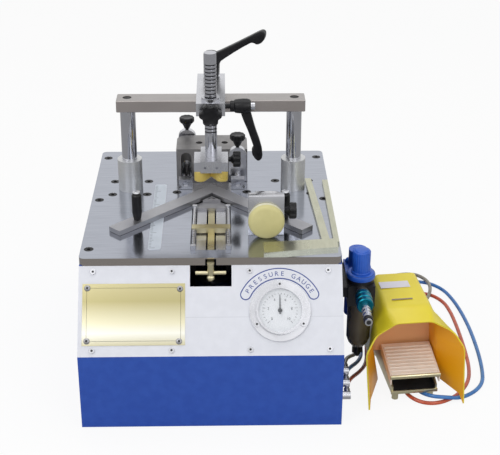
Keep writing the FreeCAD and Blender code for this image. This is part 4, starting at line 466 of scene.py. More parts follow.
def floor_paper():
    """White paper that glows a little for the camera, keeps its shadow and is grey in a mirror."""
    material = finish("floor_paper", (244, 244, 245), 0.0, 0.9)
    tree = material.node_tree
    rays = tree.nodes.new("ShaderNodeLightPath").outputs
    seen = combine(tree, "MAXIMUM", rays["Is Camera Ray"], rays["Is Glossy Ray"]).outputs["Value"]
    share = combine(tree, "MULTIPLY", seen, FLOOR_GLOW).outputs["Value"]
    paper = blend(tree, share, shader_of(material).outputs["BSDF"], glow(tree, 1.0))
    paper = blend(tree, rays["Is Glossy Ray"], paper, glow(tree, FLOOR_IN_MIRROR))
    tree.links.new(paper, tree.nodes["Material Output"].inputs["Surface"])
    return material


def studio_floor(reach):
    """A flat square of paper, which belongs to the studio and not to the machine."""
    bm = bmesh.new()
    corners = [(-reach, -reach, 0), (reach, -reach, 0), (reach, reach, 0), (-reach, reach, 0)]
    bm.faces.new([bm.verts.new(corner) for corner in corners])
    mesh = bpy.data.meshes.new("studio_floor")
    bm.to_mesh(mesh)
    bm.free()
    mesh.materials.append(floor_paper())
    card = bpy.data.objects.new("studio_floor", mesh)
    bpy.context.scene.collection.objects.link(card)


def lamp(name, place, target, size, watts):
    """A soft square lamp that looks at a point."""
    data = bpy.data.lights.new(name, "AREA")
    data.shape = "RECTANGLE"
    data.size, data.size_y = size
    data.energy = watts
    light = bpy.data.objects.new(name, data)
    light.location = place
    light.rotation_euler = (Vector(target) - Vector(place)).to_track_quat("-Z", "Y").to_euler()
    bpy.context.scene.collection.objects.link(light)


surround()
studio_floor(FLOOR_REACH)
lamp("key_lamp", (-1.3, -1.5, 2.3), (0, 0, 0.2), (1.4, 1.4), 20)
lamp("fill_lamp", (1.1, -1.9, 1.7), (0.1, -0.1, 0.2), (1.2, 1.2), 9)
lamp("top_lamp", (0.1, 0.5, 2.6), (0, 0, 0.2), (1.8, 1.2), 12)
bpy.context.scene.view_settings.view_transform = "Standard"
print("studio ready")

# %% [markdown]
# ## Hoses
# Three polyurethane air hoses, 6 mm across, leave the right wall's elbows, lie in a long loop on
# the bench and go back to the foot valve. Each is one NURBS curve, whose control points are the
# route that the CAD tube follows, so it stays on the bench and bends as a hose does. Routes are in
# millimetres, and REST is the height of a hose's middle where it lies on the bench. The spline's
# order is set after its points, because the order is cut to the number of points before it.

# %% Hoses
HOSE_DIAMETER = 0.006
REST = 3.2
HOSE_ROUTES = {
    "grey": [(200, -163, 54), (203, -141, 50), (213, -112, 37), (225, -80, 20), (231, -42, 7),
             (233, 2, REST), (236, 50, REST), (246, 100, REST), (264, 147, REST), (290, 186, REST),
             (325, 208, 7), (362, 205, 10.4), (382, 176, 10.4), (380, 138, 10.4), (361, 100, 6),
             (336, 66, 4), (314, 31, 10), (299, -4, 22), (291.01, -44.93, 30)],
    "blue": [(200, -182, 45), (203, -160, 41), (213, -131, 30), (228, -98, 18), (238, -60, 7),
             (240, -15, REST), (243, 32, REST), (254, 80, REST), (275, 126, REST), (305, 162, REST),
             (340, 187, REST), (377, 188, REST), (404, 162, REST), (416, 124, REST), (423, 80, REST),
             (427, 32, REST), (428, -16, REST), (427, -62, REST), (424, -103, REST), (418, -138, REST),
             (401, -163, REST), (376.5, -179.5, REST), (353, -189.3, 11.6), (330.2, -186.2, 11.6),
             (315, -169.3, 8.2), (311, -149.5, 6.9), (310.36, -133.39, 6.9)],
    "orange": [(200, -201, 36), (203, -179, 32), (213, -151, 24), (229, -120, 14), (243, -84, 6),
               (248, -42, REST), (252, 3, REST), (263, 48, REST), (283, 92, REST), (311, 128, REST),
               (345, 149, REST), (379, 143, REST), (399, 115, REST), (405, 78, REST), (407, 37, REST),
               (407.5, -6, REST), (407, -50, REST), (405, -92, REST), (398, -130, REST),
               (382, -160, REST), (362, -181, REST), (338, -193, REST), (316, -190.7, REST),
               (298.8, -177, 5), (291.4, -156.5, 6.4), (290.47, -135.49, 6.9)],
}


def hose(colour):
    """One free hose as a round NURBS curve along its route."""
    curve = bpy.data.curves.new(colour + "_hose_line", "CURVE")
    curve.dimensions = "3D"
    curve.bevel_depth = HOSE_DIAMETER / 2
    curve.bevel_resolution = 5
    curve.resolution_u = 10
    curve.use_fill_caps = True
    route = [Vector(point) / 1000 for point in HOSE_ROUTES[colour]]
    spline = curve.splines.new("NURBS")
    spline.points.add(len(route) - 1)
    for point, place in zip(spline.points, route):
        point.co = (*place, 1)
    spline.order_u = 3
    spline.use_endpoint_u = True
    curve.materials.append(hose_finishes[colour])
    piece = bpy.data.objects.new(colour + "_air_hose", curve)
    bpy.context.scene.collection.objects.link(piece)
    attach(piece, "base")
    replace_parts(piece, colour + "_hose")
    return piece


for colour in HOSE_ROUTES:
    hose(colour)

# %% [markdown]
# ## Helpers for modelled pieces
# Four ways of making a shape cover nearly every piece here, as they do in a workshop: turn an
# outline on a lathe, push a flat outline into a bar, break its sharp edges, and merge the result
# into one piece that moves with its body.


# %% Helpers for modelled pieces
SAME_PLACE = 1e-7
SHARP_EDGE = math.radians(25)


def lathe(points, steps=48, closed=False):
    """Spin an outline of (radius, height) corners about Z into a turned shape."""
    bm = bmesh.new()
    corners = [bm.verts.new((radius, 0, height)) for radius, height in points]
    pairs = list(zip(corners, corners[1:]))
    if closed:
        pairs.append((corners[-1], corners[0]))
    edges = [bm.edges.new(pair) for pair in pairs]
    bmesh.ops.spin(bm, geom=corners + edges, cent=(0, 0, 0), axis=(0, 0, 1), angle=2 * math.pi, steps=steps,
                   use_merge=True, use_duplicate=False)
    bmesh.ops.remove_doubles(bm, verts=bm.verts, dist=1e-6)
    return bm


def push_up(bm, height):
    """Push a shape's flat face up along Z into a closed bar."""
    pushed = bmesh.ops.extrude_face_region(bm, geom=bm.faces[:], use_keep_orig=True)
    top = [part for part in pushed["geom"] if isinstance(part, bmesh.types.BMVert)]
    bmesh.ops.translate(bm, verts=top, vec=(0, 0, height))
    bmesh.ops.remove_doubles(bm, verts=bm.verts, dist=SAME_PLACE)
    bmesh.ops.recalc_face_normals(bm, faces=bm.faces)
    return bm


def prism(points, depth):
    """Push an outline of (x, y) corners up into a closed bar."""
    bm = bmesh.new()
    bm.faces.new([bm.verts.new((x, y, 0)) for x, y in points])
    return push_up(bm, depth)


def ease(bm, radius, segments=2, wanted=None):
    """Round the sharp edges, or those that a test picks out."""
    sharp = [edge for edge in bm.edges if len(edge.link_faces) == 2
             and edge.calc_face_angle(0) > SHARP_EDGE and (wanted is None or wanted(edge))]
    bmesh.ops.bevel(bm, geom=sharp, offset=radius, offset_type="OFFSET", segments=segments, profile=0.5,
                    affect="EDGES", material=-1, clamp_overlap=True)
    return bm


def move(bm, matrix):
    """Place a shape."""
    bmesh.ops.transform(bm, matrix=matrix, verts=bm.verts)
    return bm


def join(bm, other):
    """Add another shape to this one and let it go."""
    spare = bpy.data.meshes.new("spare")
    other.to_mesh(spare)
    other.free()
    bm.from_mesh(spare)
    bpy.data.meshes.remove(spare)
    return bm


def make_piece(name, bm, material, body, smooth=32, extra=()):
    """Turn a finished shape into an object that rides on a body of the frame."""
    bmesh.ops.remove_doubles(bm, verts=bm.verts, dist=SAME_PLACE)
    bmesh.ops.recalc_face_normals(bm, faces=bm.faces)
    mesh = bpy.data.meshes.new(name)
    bm.to_mesh(mesh)
    bm.free()
    for item in (material, *extra):
        mesh.materials.append(item)
    mesh.shade_smooth()
    mesh.set_sharp_from_angle(angle=math.radians(smooth))
    piece = bpy.data.objects.new(name, mesh)
    bpy.context.scene.collection.objects.link(piece)
    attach(piece, body)
    return piece


def at(x, y, z):
    """A shift written in millimetres."""
    return Matrix.Translation((x / 1000, y / 1000, z / 1000))


def mm(points):
    """Corners written in millimetres, as metres."""
    return [(a / 1000, b / 1000) for a, b in points]


def rectangle(left, low, right, high):
    """The four corners of a rectangle written in millimetres."""
    return mm([(left, low), (right, low), (right, high), (left, high)])


def rod(radius, low, high, steps=24):
    """A plain turned rod along Z, written in millimetres."""
    return lathe(mm([(0, low), (radius, low), (radius, high), (0, high)]), steps)


TO_FRONT = Matrix.Rotation(math.radians(90), 4, "X")
TO_RIGHT = Matrix.Rotation(math.radians(90), 4, "Y")
print("helpers ready")

# %% [markdown]
# ## The front panel's frame
# What sits on the sloped panel is drawn flat, with Y up the slope and Z outwards, and then one
# matrix seats it. The slope rises 104 mm over a run of 80 mm. Much of it is laid out on circles
# round the gauge, so two helpers give points on a circle.


# %% Seat for pieces on the sloped panel
PANEL_RISE, PANEL_RUN = 104, 80
PANEL_TURN = math.atan2(PANEL_RISE, PANEL_RUN)
ON_PANEL = at(0, -240, 120) @ Matrix.Rotation(PANEL_TURN, 4, "X")
GAUGE = (99, 64)


def spot(centre, radius, degrees):
    """The point at an angle on a circle."""
    angle = math.radians(degrees)
    return (centre[0] + radius * math.cos(angle), centre[1] + radius * math.sin(angle))


def arc(centre, radius, start, end, steps):
    """Points along a circle, from one angle to another."""
    return [spot(centre, radius, start + (end - start) * k / steps) for k in range(steps + 1)]


print("panel slope %.1f degrees" % math.degrees(PANEL_TURN))

# %% [markdown]
# ## Nameplate
# A thin brushed brass plate, held by four screws. Here it stays bare: only its engraved border
# line is kept. The line is made by insetting the face twice, the second time with a little depth,
# which is how an engraver's cutter leaves it.


# %% Nameplate with an engraved border
def nameplate():
    """A thin plate whose border line is cut by insetting its face."""
    bm = prism(rectangle(-184, 16, -37, 105), 0.0008)
    bm.faces.ensure_lookup_table()
    face = max(bm.faces, key=lambda f: f.calc_center_median().z)
    bmesh.ops.inset_region(bm, faces=[face], thickness=0.0085, depth=0)
    bmesh.ops.inset_region(bm, faces=[face], thickness=0.0003, depth=-0.0003)
    line = [f for edge in face.edges for f in edge.link_faces if f is not face]
    bmesh.ops.inset_region(bm, faces=[face], thickness=0.0003, depth=0.0003)
    line += [f for edge in face.edges for f in edge.link_faces if f is not face]
    for groove in line:
        groove.material_index = 1
    move(bm, ON_PANEL)
    make_piece("nameplate", bm, plate_brass, "base", extra=(ink_and_shade_black,))


nameplate()
print("nameplate made")

# %% [markdown]
# ## Button screws
# The panel and the plate are held by small button-head screws with a hexagon socket. A dome is
# turned from a quarter arc, and its socket is the flat face on top, pushed in and painted black as
# shade. The panel's own screws are in the CAD model, so they only get a thin black hexagon on top,
# which is painted shade for their sockets.


# %% Screws on the nameplate, and painted shade in the panel's screw sockets
def button_screw(radius, height, socket):
    """A domed head with a socket pushed into it and painted dark as shade, standing on z = 0."""
    quarter = [math.pi / 2 * k / 5 for k in range(1, 5)]
    dome = [(radius * math.cos(a), height * math.sin(a)) for a in quarter]
    bm = lathe([(0, 0), (radius, 0), *dome, (socket, height * 0.96)], 24)
    loop = [edge for edge in bm.edges if len(edge.link_faces) == 1]
    shaded_socket = bmesh.ops.contextual_create(bm, geom=loop)["faces"]
    # Painted shade: the socket's faces take the second, black material.
    for face in shaded_socket:
        face.material_index = 1
    bmesh.ops.inset_region(bm, faces=shaded_socket, thickness=socket * 0.1, depth=-height * 0.6)
    return bm


PLATE_SCREWS = [(-177, 98.8), (-44.2, 97), (-177, 22.6), (-45.6, 21.5)]
screws = bmesh.new()
for x, up in PLATE_SCREWS:
    join(screws, move(button_screw(0.0046, 0.0026, 0.0018), ON_PANEL @ at(x, up, 0.8)))
make_piece("nameplate_screws", screws, dull_steel, "base", extra=(ink_and_shade_black,))

# Painted shade: a thin black hexagon on each panel screw stands for its dark socket.
socket_shades = bmesh.new()
ON_SCREW_HEAD, ON_GAUGE_RIM = 2.2, 5.2
PANEL_SCREW_PLACES = [(side * x, up, ON_SCREW_HEAD) for up in (9, 122.7) for x in (169.5, 56.2)
                      for side in (1, -1)]
PANEL_SCREW_PLACES += [(*spot(GAUGE, 38.5, degrees), ON_GAUGE_RIM) for degrees in (90, 210, 330)]
for x, up, out in PANEL_SCREW_PLACES:
    shade_disc = bmesh.new()
    bmesh.ops.create_cone(shade_disc, cap_ends=True, segments=6, radius1=0.0018, radius2=0.0018, depth=0.0004)
    join(socket_shades, move(shade_disc, ON_PANEL @ at(x, up, out)))
make_piece("panel_screw_socket_shades", socket_shades, ink_and_shade_black, "base")
print("screws:", len(PLATE_SCREWS), "plate screws and", len(PANEL_SCREW_PLACES), "socket_shades")

# %% [markdown]
# ## Label band over the gauge
# An arched label with a blue outline runs over the gauge and says what it is. The band is a flat
# ring segment whose ends are half circles: four arcs lay out its edge. The blue band is larger
# and lies below the white one, which leaves the outline. Its letters are text turned into a mesh,
# each stood on the arc at its own angle.

# %% Label band and its letters
BAND_IN, BAND_OUT, BAND_SPREAD = 46.4, 62.5, 64
LETTER_RADIUS, LETTER_SPREAD = 51, 58


def band(name, inset, thick, material):
    """A ring segment with round ends, centred over the gauge."""
    inner, outer = BAND_IN + inset, BAND_OUT - inset
    middle, half = (inner + outer) / 2, (outer - inner) / 2
    low, high = 90 - BAND_SPREAD, 90 + BAND_SPREAD
    edge = arc((0, 0), outer, low, high, 48)
    edge += arc(spot((0, 0), middle, high), half, high, high + 180, 12)[1:-1]
    edge += arc((0, 0), inner, high, low, 48)
    edge += arc(spot((0, 0), middle, low), half, low + 180, low + 360, 12)[1:-1]
    make_piece(name, move(prism(mm(edge), thick), ON_PANEL @ at(*GAUGE, 0)), material, "base")


def as_shape(curve):
    """Turn a line or a text into a mesh shape, and let the curve go."""
    holder = bpy.data.objects.new(curve.name, curve)
    bpy.context.scene.collection.objects.link(holder)
    bpy.context.view_layer.update()
    mesh = bpy.data.meshes.new_from_object(holder.evaluated_get(bpy.context.evaluated_depsgraph_get()))
    bm = bmesh.new()
    bm.from_mesh(mesh)
    bpy.data.objects.remove(holder)
    bpy.data.curves.remove(curve)
    bpy.data.meshes.remove(mesh)
    return bm


def letter(character, size, thick):
    """One character as a thin closed shape, centred over the origin."""
    text = bpy.data.curves.new("letter", "FONT")
    text.body = character
    text.size = size
    text.extrude = thick
    text.align_x = "CENTER"
    return as_shape(text)


band("gauge_label_edge", 0, 0.0003, ink_blue)
band("gauge_label", 1.5, 0.0005, panel_white)
WORDS = "PRESSURE GAUGE"
letters = bmesh.new()
for i, character in enumerate(WORDS):
    if character == " ":
        continue
    turn = math.radians(LETTER_SPREAD - 2 * LETTER_SPREAD * i / (len(WORDS) - 1))
    seat = ON_PANEL @ at(*GAUGE, 0.5) @ Matrix.Rotation(turn, 4, "Z") @ at(0, LETTER_RADIUS, 0)
    join(letters, move(letter(character, 0.0095, 0.0001), seat))
make_piece("gauge_label_letters", letters, ink_blue, "base")
print("label says:", WORDS)

# %% [markdown]
# ## A faint line on the panel
# A thin level line crosses the panel beside the nameplate. It could be the edge of a film or a
# scribed line, and a strip of six hundredths of a millimetre is enough to show it.

# %% Line across the panel
seam_grey = finish("seam_grey", (196, 198, 206), 0.0, 0.5)
seam = prism(rectangle(-36, 55.6, 189.6, 56), 0.00006)
make_piece("panel_seam", move(seam, ON_PANEL), seam_grey, "base")
print("line across the panel made")

# %% [markdown]
# ## The dial
# Under the window lies a white plate with ticks and plain numbers. A tick is a small bar turned
# round the centre, and a loop makes the scale: five divisions, each with five parts.

# %% Dial marks
DIAL_OUT = 5.0
TICK_END, TICK_COUNT = 25.5, 25
NUMBER_RADIUS, NUMBER_DROP = 17, 1.6
marks = bmesh.new()
for k in range(TICK_COUNT + 1):
    length = 4.2 if k % 5 == 0 else 2.2
    tick = prism(rectangle(-0.25, TICK_END - length, 0.25, TICK_END), 0.00003)
    turn = Matrix.Rotation(math.radians(135 - 270 * k / TICK_COUNT), 4, "Z")
    join(marks, move(tick, ON_PANEL @ at(*GAUGE, DIAL_OUT) @ turn))
for k in range(6):
    x, up = spot(GAUGE, NUMBER_RADIUS, 225 - 54 * k)
    seat = ON_PANEL @ at(x, up - NUMBER_DROP, DIAL_OUT + 0.01)
    join(marks, move(letter(str(2 * k), 0.0052, 0.00001), seat))
make_piece("dial_marks", marks, ink_and_shade_black, "base")
needle = prism(mm([(-1.3, -5), (1.3, -5), (0.5, 23), (-0.5, 23)]), 0.0006)
needle = move(join(needle, rod(1.2, -0.25, 0.6)), ON_PANEL @ at(*GAUGE, 5.35))
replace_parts(make_piece("dial_needle", needle, black_oxide, "gauge_needle"), "gauge_needle")
hub = lathe(mm([(0, 0), (3.2, 0), (3.2, 0.9), (2.6, 1.3), (0, 1.3)]), 32)
make_piece("needle_hub", move(hub, ON_PANEL @ at(*GAUGE, 5.9)), black_oxide, "gauge_needle")
print("dial marked from 0 to 10")

# %% [markdown]
# ## Rule strip on the table
# A thin steel rule let into the table's left side helps to set the moulding. It is a flat strip
# with round corners, and its ticks are tiny bars every 5 mm, longer at every fifth and longest at
# every tenth.

# %% Rule strip with its ticks
TABLE_TOP = 236
STRIP_LEFT, STRIP_RIGHT = -92, -73
STRIP_FRONT, STRIP_BACK = -134, 100
STRIP_CORNER = 5
TICK_STEP = 5
strip_plan = []
for x, y, start in ((STRIP_LEFT + STRIP_CORNER, STRIP_FRONT + STRIP_CORNER, 180),
                    (STRIP_RIGHT - STRIP_CORNER, STRIP_FRONT + STRIP_CORNER, 270),
                    (STRIP_RIGHT - STRIP_CORNER, STRIP_BACK - STRIP_CORNER, 0),
                    (STRIP_LEFT + STRIP_CORNER, STRIP_BACK - STRIP_CORNER, 90)):
    strip_plan += arc((x, y), STRIP_CORNER, start, start + 90, 6)
strip = prism(mm(strip_plan), 0.0003)
rule_pale = wear("rule_pale_steel", (198, 206, 216), 4, 0.5, 0.30, 0.40, 240, 0.000004)
make_piece("rule_strip", move(strip, at(0, 0, TABLE_TOP)), rule_pale, "base")
ticks = bmesh.new()
for k in range(45):
    y = STRIP_FRONT + 6 + TICK_STEP * k
    length = 9 if k % 10 == 0 else 6 if k % 5 == 0 else 3.5
    bar = prism(rectangle(STRIP_LEFT + 1, y, STRIP_LEFT + 1 + length, y + 0.5), 0.0001)
    join(ticks, move(bar, at(0, 0, TABLE_TOP + 0.3)))
make_piece("rule_ticks", ticks, ink_and_shade_black, "base")
print("rule strip is", STRIP_BACK - STRIP_FRONT, "mm long")

# %% [markdown]
# ## Clamping levers
# Both adjustable levers are die-cast: a round hub, a slanted neck and a flat grip with a hooked
# tip. The side outline is pushed to the grip's width, and every edge is rounded, so the light
# runs along it as on the real casting. The hub is turned, with a screw in its end.

# %% Lever shapes
LEVER_OUTLINE = [(4, 39), (14, 43.6), (30, 52.4), (48.3, 62.8), (66, 73), (79, 80.6), (83.5, 82.8),
                 (87.3, 82.6), (89.8, 80), (90, 76), (89, 70.5), (86.8, 66), (84.2, 63.2), (79.8, 60.8),
                 (76.1, 60.2), (72.6, 62.2), (67.9, 62.6), (54, 54), (40.1, 44.6), (26, 34.4),
                 (16, 26.6), (13.2, 20), (12.6, 1.1), (4, 1.1)]


def lever_arm(outline, width):
    """A side outline pushed to the lever's width, all its edges rounded."""
    bm = prism(mm(outline), width / 1000)
    move(bm, at(0, 0, -width / 2))
    return ease(bm, 0.0026, 3)


def top_lever():
    """The casting with its turned hub, threaded stud and bright end screw."""
    seat = at(0, 162, 400) @ Matrix.Rotation(math.radians(-15.2), 4, "Z")
    bm = move(lever_arm(LEVER_OUTLINE, 14), TO_FRONT)
    bm = join(bm, lathe(mm([(0, 0), (12, 0), (12, 37), (10.8, 39.8), (9, 41), (5, 41), (5, 39.5),
                            (0, 39.5)]), 48))
    bm = move(join(bm, rod(4, -18, 1)), seat)
    piece = make_piece("top_clamping_lever", bm, moulded_black, "top_lever")
    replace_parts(piece, "top_lever")
    cap = lathe(mm([(0, 0), (4.6, 0), (4.6, 1.6), (3.8, 2.2), (1.8, 2.2), (1.8, 0.8), (0, 0.8)]), 32)
    make_piece("top_lever_screw", move(cap, seat @ at(0, 0, 39.5)), bright_zinc, "top_lever")


top_lever()
print("top lever made")

# %% [markdown]
# The second lever is the same casting, hung from a level axis at the arm's side. Its hub swells
# in the middle, where the spring sits, and a bright screw shows in its end.

# %% Side lever
SIDE_OUTLINE = [(47, 390), (47, 378), (50.5, 368), (57.6, 350.5), (63.5, 333), (66.8, 323),
                (64.4, 319.6), (63.4, 315.6), (64.6, 310.6), (68.4, 304.4), (72.4, 300.6), (75.6, 300.8),
                (79.2, 304.4), (80.4, 310), (79.6, 319), (75.4, 335), (70, 350.5), (65.6, 366),
                (62, 380), (62, 390)]
SIDE_AXIS = (49, 390)


def on_side_axis(x):
    """A seat on the lever's level axis."""
    return at(x, *SIDE_AXIS) @ TO_RIGHT


def side_lever():
    """The casting with its swelled hub, threaded stud and bright end screw."""
    bm = move(lever_arm(SIDE_OUTLINE, 13), at(0, SIDE_AXIS[0], 0) @ TO_FRONT)
    hub = lathe(mm([(0, 0), (7.6, 0), (8.4, 1), (8.4, 6), (10.4, 8), (11, 12), (11.6, 18), (11.6, 26),
                    (10.6, 30), (8.4, 32), (0, 32)]), 40)
    bm = join(bm, move(hub, on_side_axis(30)))
    bm = join(bm, move(rod(4, 0, 21), on_side_axis(10)))
    piece = make_piece("side_clamping_lever", bm, moulded_black, "side_lever")
    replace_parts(piece, "side_lever")
    cap = lathe(mm([(0, 0), (5.6, 0), (5.6, 3), (5, 3.4), (5.6, 3.8), (5.6, 6), (4.6, 7), (2.2, 7),
                    (2.2, 5), (0, 5)]), 32)
    make_piece("side_lever_screw", move(cap, on_side_axis(61.5)), bright_zinc, "side_lever")


side_lever()
print("side lever made")

# %% [markdown]
# ## Hand knobs
# Star knobs clamp the rod, the pads and the fence's stops. The rim is a circle whose corners are
# drawn in between the lobes, pushed to its height and rounded top and bottom. Below it a turned
# cone leads to the threaded stud.


# %% Star knobs
def lobed_bar(radius, height, lobes, steps, dip, hollow=1.0):
    """An upright bar whose outline is a circle drawn in between its lobes."""
    bm = bmesh.new()
    ring = bmesh.ops.create_circle(bm, cap_ends=True, radius=radius, segments=lobes * steps)["verts"]
    for corner in ring:
        angle = math.atan2(corner.co.y, corner.co.x)
        corner.co *= 1 - dip * (0.5 - 0.5 * math.cos(lobes * angle)) ** hollow
    return push_up(bm, height)


def star(radius, height, lobes, dip):
    """The lobed rim of a hand knob, standing on z = 0."""
    bm = lobed_bar(radius, height, lobes, 12, dip, 1.6)
    ease(bm, min(0.002, height * 0.22), 3, lambda edge: abs(edge.verts[0].co.z - edge.verts[1].co.z) < 1e-6)
    cap = max(bm.faces, key=lambda face: face.calc_center_median().z)
    bmesh.ops.inset_region(bm, faces=[cap], thickness=radius * 0.07, depth=-height * 0.04)
    return bm


def knob(name, seat, body, node, rim, cone, stud, lobes=6, dip=0.2):
    """A knob of a rim (radius, start, end), a cone (two radii, start, end) and a stud, in mm."""
    radius, low, high = rim
    bm = move(star(radius / 1000, (high - low) / 1000, lobes, dip), at(0, 0, low))
    narrow, wide, start, end = cone
    belly = ((narrow + wide) / 2.1, (start + end) / 2)
    bm = join(bm, lathe(mm([(0, start), (narrow, start), belly, (wide, end), (0, end)]), 40))
    bm = join(bm, rod(*stud))
    piece = make_piece(name, move(bm, seat), moulded_black, body)
    if node:
        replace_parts(piece, node)


knob("rod_star_knob", at(0, 33, 387) @ TO_FRONT, "front_knob", "front_knob", (17.5, 6, 20),
     (5, 12.5, 0.5, 7), (4, -6, 1))
knob("pad_star_knob", at(31, 36, 307) @ TO_RIGHT, "pad_knob", "pad_knob", (13, 3, 15),
     (4, 9, -1, 4), (4, -21, 1))
knob("right_thumb_knob", at(42, 114.5, 296), "right_stop_knob", "right_stop_knob", (12.4, 12.4, 21.6),
     (4.4, 9.8, 2, 13), (3, -44.7, 5), lobes=10, dip=0.07)
knob("left_thumb_knob", at(-42, 193.5, 296), "left_stop_knob", "left_stop_knob", (12.4, 12.4, 21.6),
     (4.4, 9.8, 2, 13), (3, -44.7, 5), lobes=10, dip=0.07)
print("four knobs made")

# %% [markdown]
# ## Rod grooves
# The height rod is turned with twenty shallow grooves that the arm's catch drops into. In the
# photograph they read as dark rings, because oil and shadow collect in them. Each is a thin black
# band just proud of the groove's floor: part oil, part painted shade.

# %% Dark oil and painted shade in the rod's grooves
FIRST_GROOVE_TOP, GROOVE_WIDTH, GROOVE_PITCH, GROOVE_COUNT = 459, 2.4, 5.7, 20
# Painted shade: dark rings in the grooves, part real oil and part shade.
oil_and_shade_rings = bmesh.new()
for k in range(GROOVE_COUNT):
    foot = FIRST_GROOVE_TOP - k * GROOVE_PITCH - GROOVE_WIDTH
    ring = lathe(mm([(8.5, 0.1), (8.75, 0.1), (8.75, 2.2), (8.5, 2.2)]), 40, closed=True)
    join(oil_and_shade_rings, move(ring, at(0, 49, foot)))
make_piece("rod_groove_oil_and_shade", oil_and_shade_rings, black_oxide, "height_rod")
print("grooves:", GROOVE_COUNT)

# %% [markdown]
# ## Pads
# The press pad is cast round a V so that it clears the nail's line. Its plan outline is pushed
# down from the holder and its edges are rounded generously, because the rubber is cast in an
# open mould. The spare pad is a plain disc with a paler rim, leaning on its own upright holder
# with a knob at its side.


# %% Pads
PAD_HEIGHT = 0.018


def press_pad():
    """The V-notched pad, eased most at its foot, which meets the moulding."""
    half = 26
    plan = [(-half, 12), (-half + 3, 8), (-15, 6.4), (-9, 9.6), (-4, 18), (0, 25), (4, 18), (9, 9.6),
            (15, 6.4), (half - 3, 8), (half, 12), (half, 39), (half - 4, 44), (14, 51.6), (-14, 51.6),
            (-half + 4, 44), (-half, 39)]
    bm = prism(mm(plan), PAD_HEIGHT)
    ease(bm, 0.0034, 4, lambda edge: max(end.co.z for end in edge.verts) < 0.001)
    ease(bm, 0.0012, 2, lambda edge: min(end.co.z for end in edge.verts) > PAD_HEIGHT - 0.0005)
    move(bm, at(0, 0, 280))
    piece = make_piece("amber_press_pad", bm, amber_rubber, "height_rod", smooth=50)
    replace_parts(piece, "press_pad")


def spare_pad():
    """The disc and its paler rim, which stands a fifth of a millimetre proud."""
    seat = at(82.3, -88, 263) @ TO_FRONT
    disc = lathe(mm([(0, 0), (26, 0), (26.8, 1.4), (26.8, 11), (26, 13.2), (24.5, 14.8), (22, 15.6),
                     (8, 16), (0, 16)]), 72)
    piece = make_piece("spare_cream_pad", move(disc, seat), cream_rubber, "base", smooth=50)
    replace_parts(piece, "spare_pad")
    rim = lathe(mm([(26.8, 2), (27, 3), (27, 6.4), (26.8, 7.4), (26.4, 7.4), (26.4, 2)]), 72, closed=True)
    make_piece("spare_pad_rim", move(rim, seat), pale_rim, "base")


def spare_holder():
    """A square upright block with a narrower back."""
    plan = [(55.6, -88), (109, -88), (109, -74), (98.6, -74), (98.6, -69), (66, -69), (66, -74),
            (55.6, -74)]
    block = move(ease(prism(mm(plan), 0.064), 0.0008), at(0, 0, TABLE_TOP))
    piece = make_piece("spare_pad_holder", block, bright_zinc, "base")
    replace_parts(piece, "spare_holder")


press_pad()
spare_pad()
spare_holder()
knob("spare_star_knob", at(113.3, -81, 273) @ TO_RIGHT, "base", None, (13, 3, 14),
     (4, 9, -4, 4), (4, -10, 1))
print("pads made")

# %% [markdown]
# ## Fence handles
# The two upright grips end in bright turned caps, which catch the light in the photograph.

# %% Caps on the fence's handles
GRIP_PLACE = 0.112
low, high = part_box("fence_handles")
for side, word in ((1, "right"), (-1, "left")):
    cap = lathe(mm([(0, 0), (5.4, 0), (5.8, 0.5), (5.4, 1.6), (3.6, 2.3), (1.4, 2.4), (0, 2.4)]), 40)
    place = Matrix.Translation((side * GRIP_PLACE, (low.y + high.y) / 2, high.z))
    make_piece(word + "_handle_cap", move(cap, place), bright_zinc, "fence")
print("handle caps stand at z = %.3f m" % high.z)

# %% [markdown]
# ## Regulator knob
# The knob that sets the pressure is moulded in blue with grip flutes all round and a collar at
# its foot. The flutes are the corners of a circle, drawn in and out in turn, as on the star knobs.

# %% Regulator knob
GRIP_RADIUS, GRIP_HEIGHT, FLUTES, FLUTE_DEPTH = 0.0134, 0.036, 24, 0.0005
regulator = lobed_bar(GRIP_RADIUS, GRIP_HEIGHT, FLUTES, 4, FLUTE_DEPTH / GRIP_RADIUS)
ease(regulator, 0.0022, 3, lambda edge: min(end.co.z for end in edge.verts) > GRIP_HEIGHT * 0.99)
crown = lathe(mm([(0, 35.6), (11, 35.6), (11, 36.6), (9.5, 37.6), (7, 38), (0, 38)]), 48)
collar = lathe(mm([(13, 0), (14.8, 0), (14.8, 2.2), (14, 3), (13, 3)]), 48, closed=True)
regulator = move(join(join(regulator, crown), collar), at(223, -120, 190.3))
knob_piece = make_piece("regulator_grip", regulator, knob_blue, "regulator_knob")
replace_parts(knob_piece, "regulator_knob")
lower_ring = lathe(mm([(19.2, 0), (20.8, 1), (21.4, 3), (21.4, 6), (20.8, 8), (19.2, 9), (14.9, 9.2),
                       (14.9, 8.4)]), 56, closed=True)
move(lower_ring, at(223, -120, 181.2))
make_piece("regulator_lock_ring", lower_ring, knob_blue, "base")
print("regulator knob has", FLUTES, "flutes")

# %% [markdown]
# ## Pusher springs
# Two coil springs press the nails forward. Each is wire wound on a mandrel, so its line is a
# helix. When the handle pulls the bar back, the springs get shorter between
# the bar and their fixed ends.

# %% Pusher springs
spring_low, spring_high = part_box("pusher_springs")
SPRING_TURNS = 9


def coil(x, radius, wire):
    """One spring along Y, between the CAD springs' ends."""
    curve = bpy.data.curves.new("coil", "CURVE")
    curve.dimensions = "3D"
    curve.bevel_depth = wire
    curve.bevel_resolution = 2
    curve.use_fill_caps = True
    spline = curve.splines.new("POLY")
    steps = SPRING_TURNS * 20
    spline.points.add(steps)
    near, far = spring_low.y + wire, spring_high.y - wire
    z = (spring_low.z + spring_high.z) / 2
    for k, point in enumerate(spline.points):
        angle = 2 * math.pi * SPRING_TURNS * k / steps
        place = near + (far - near) * k / steps
        point.co = (x + radius * math.cos(angle), place, z + radius * math.sin(angle), 1)
    return as_shape(curve)


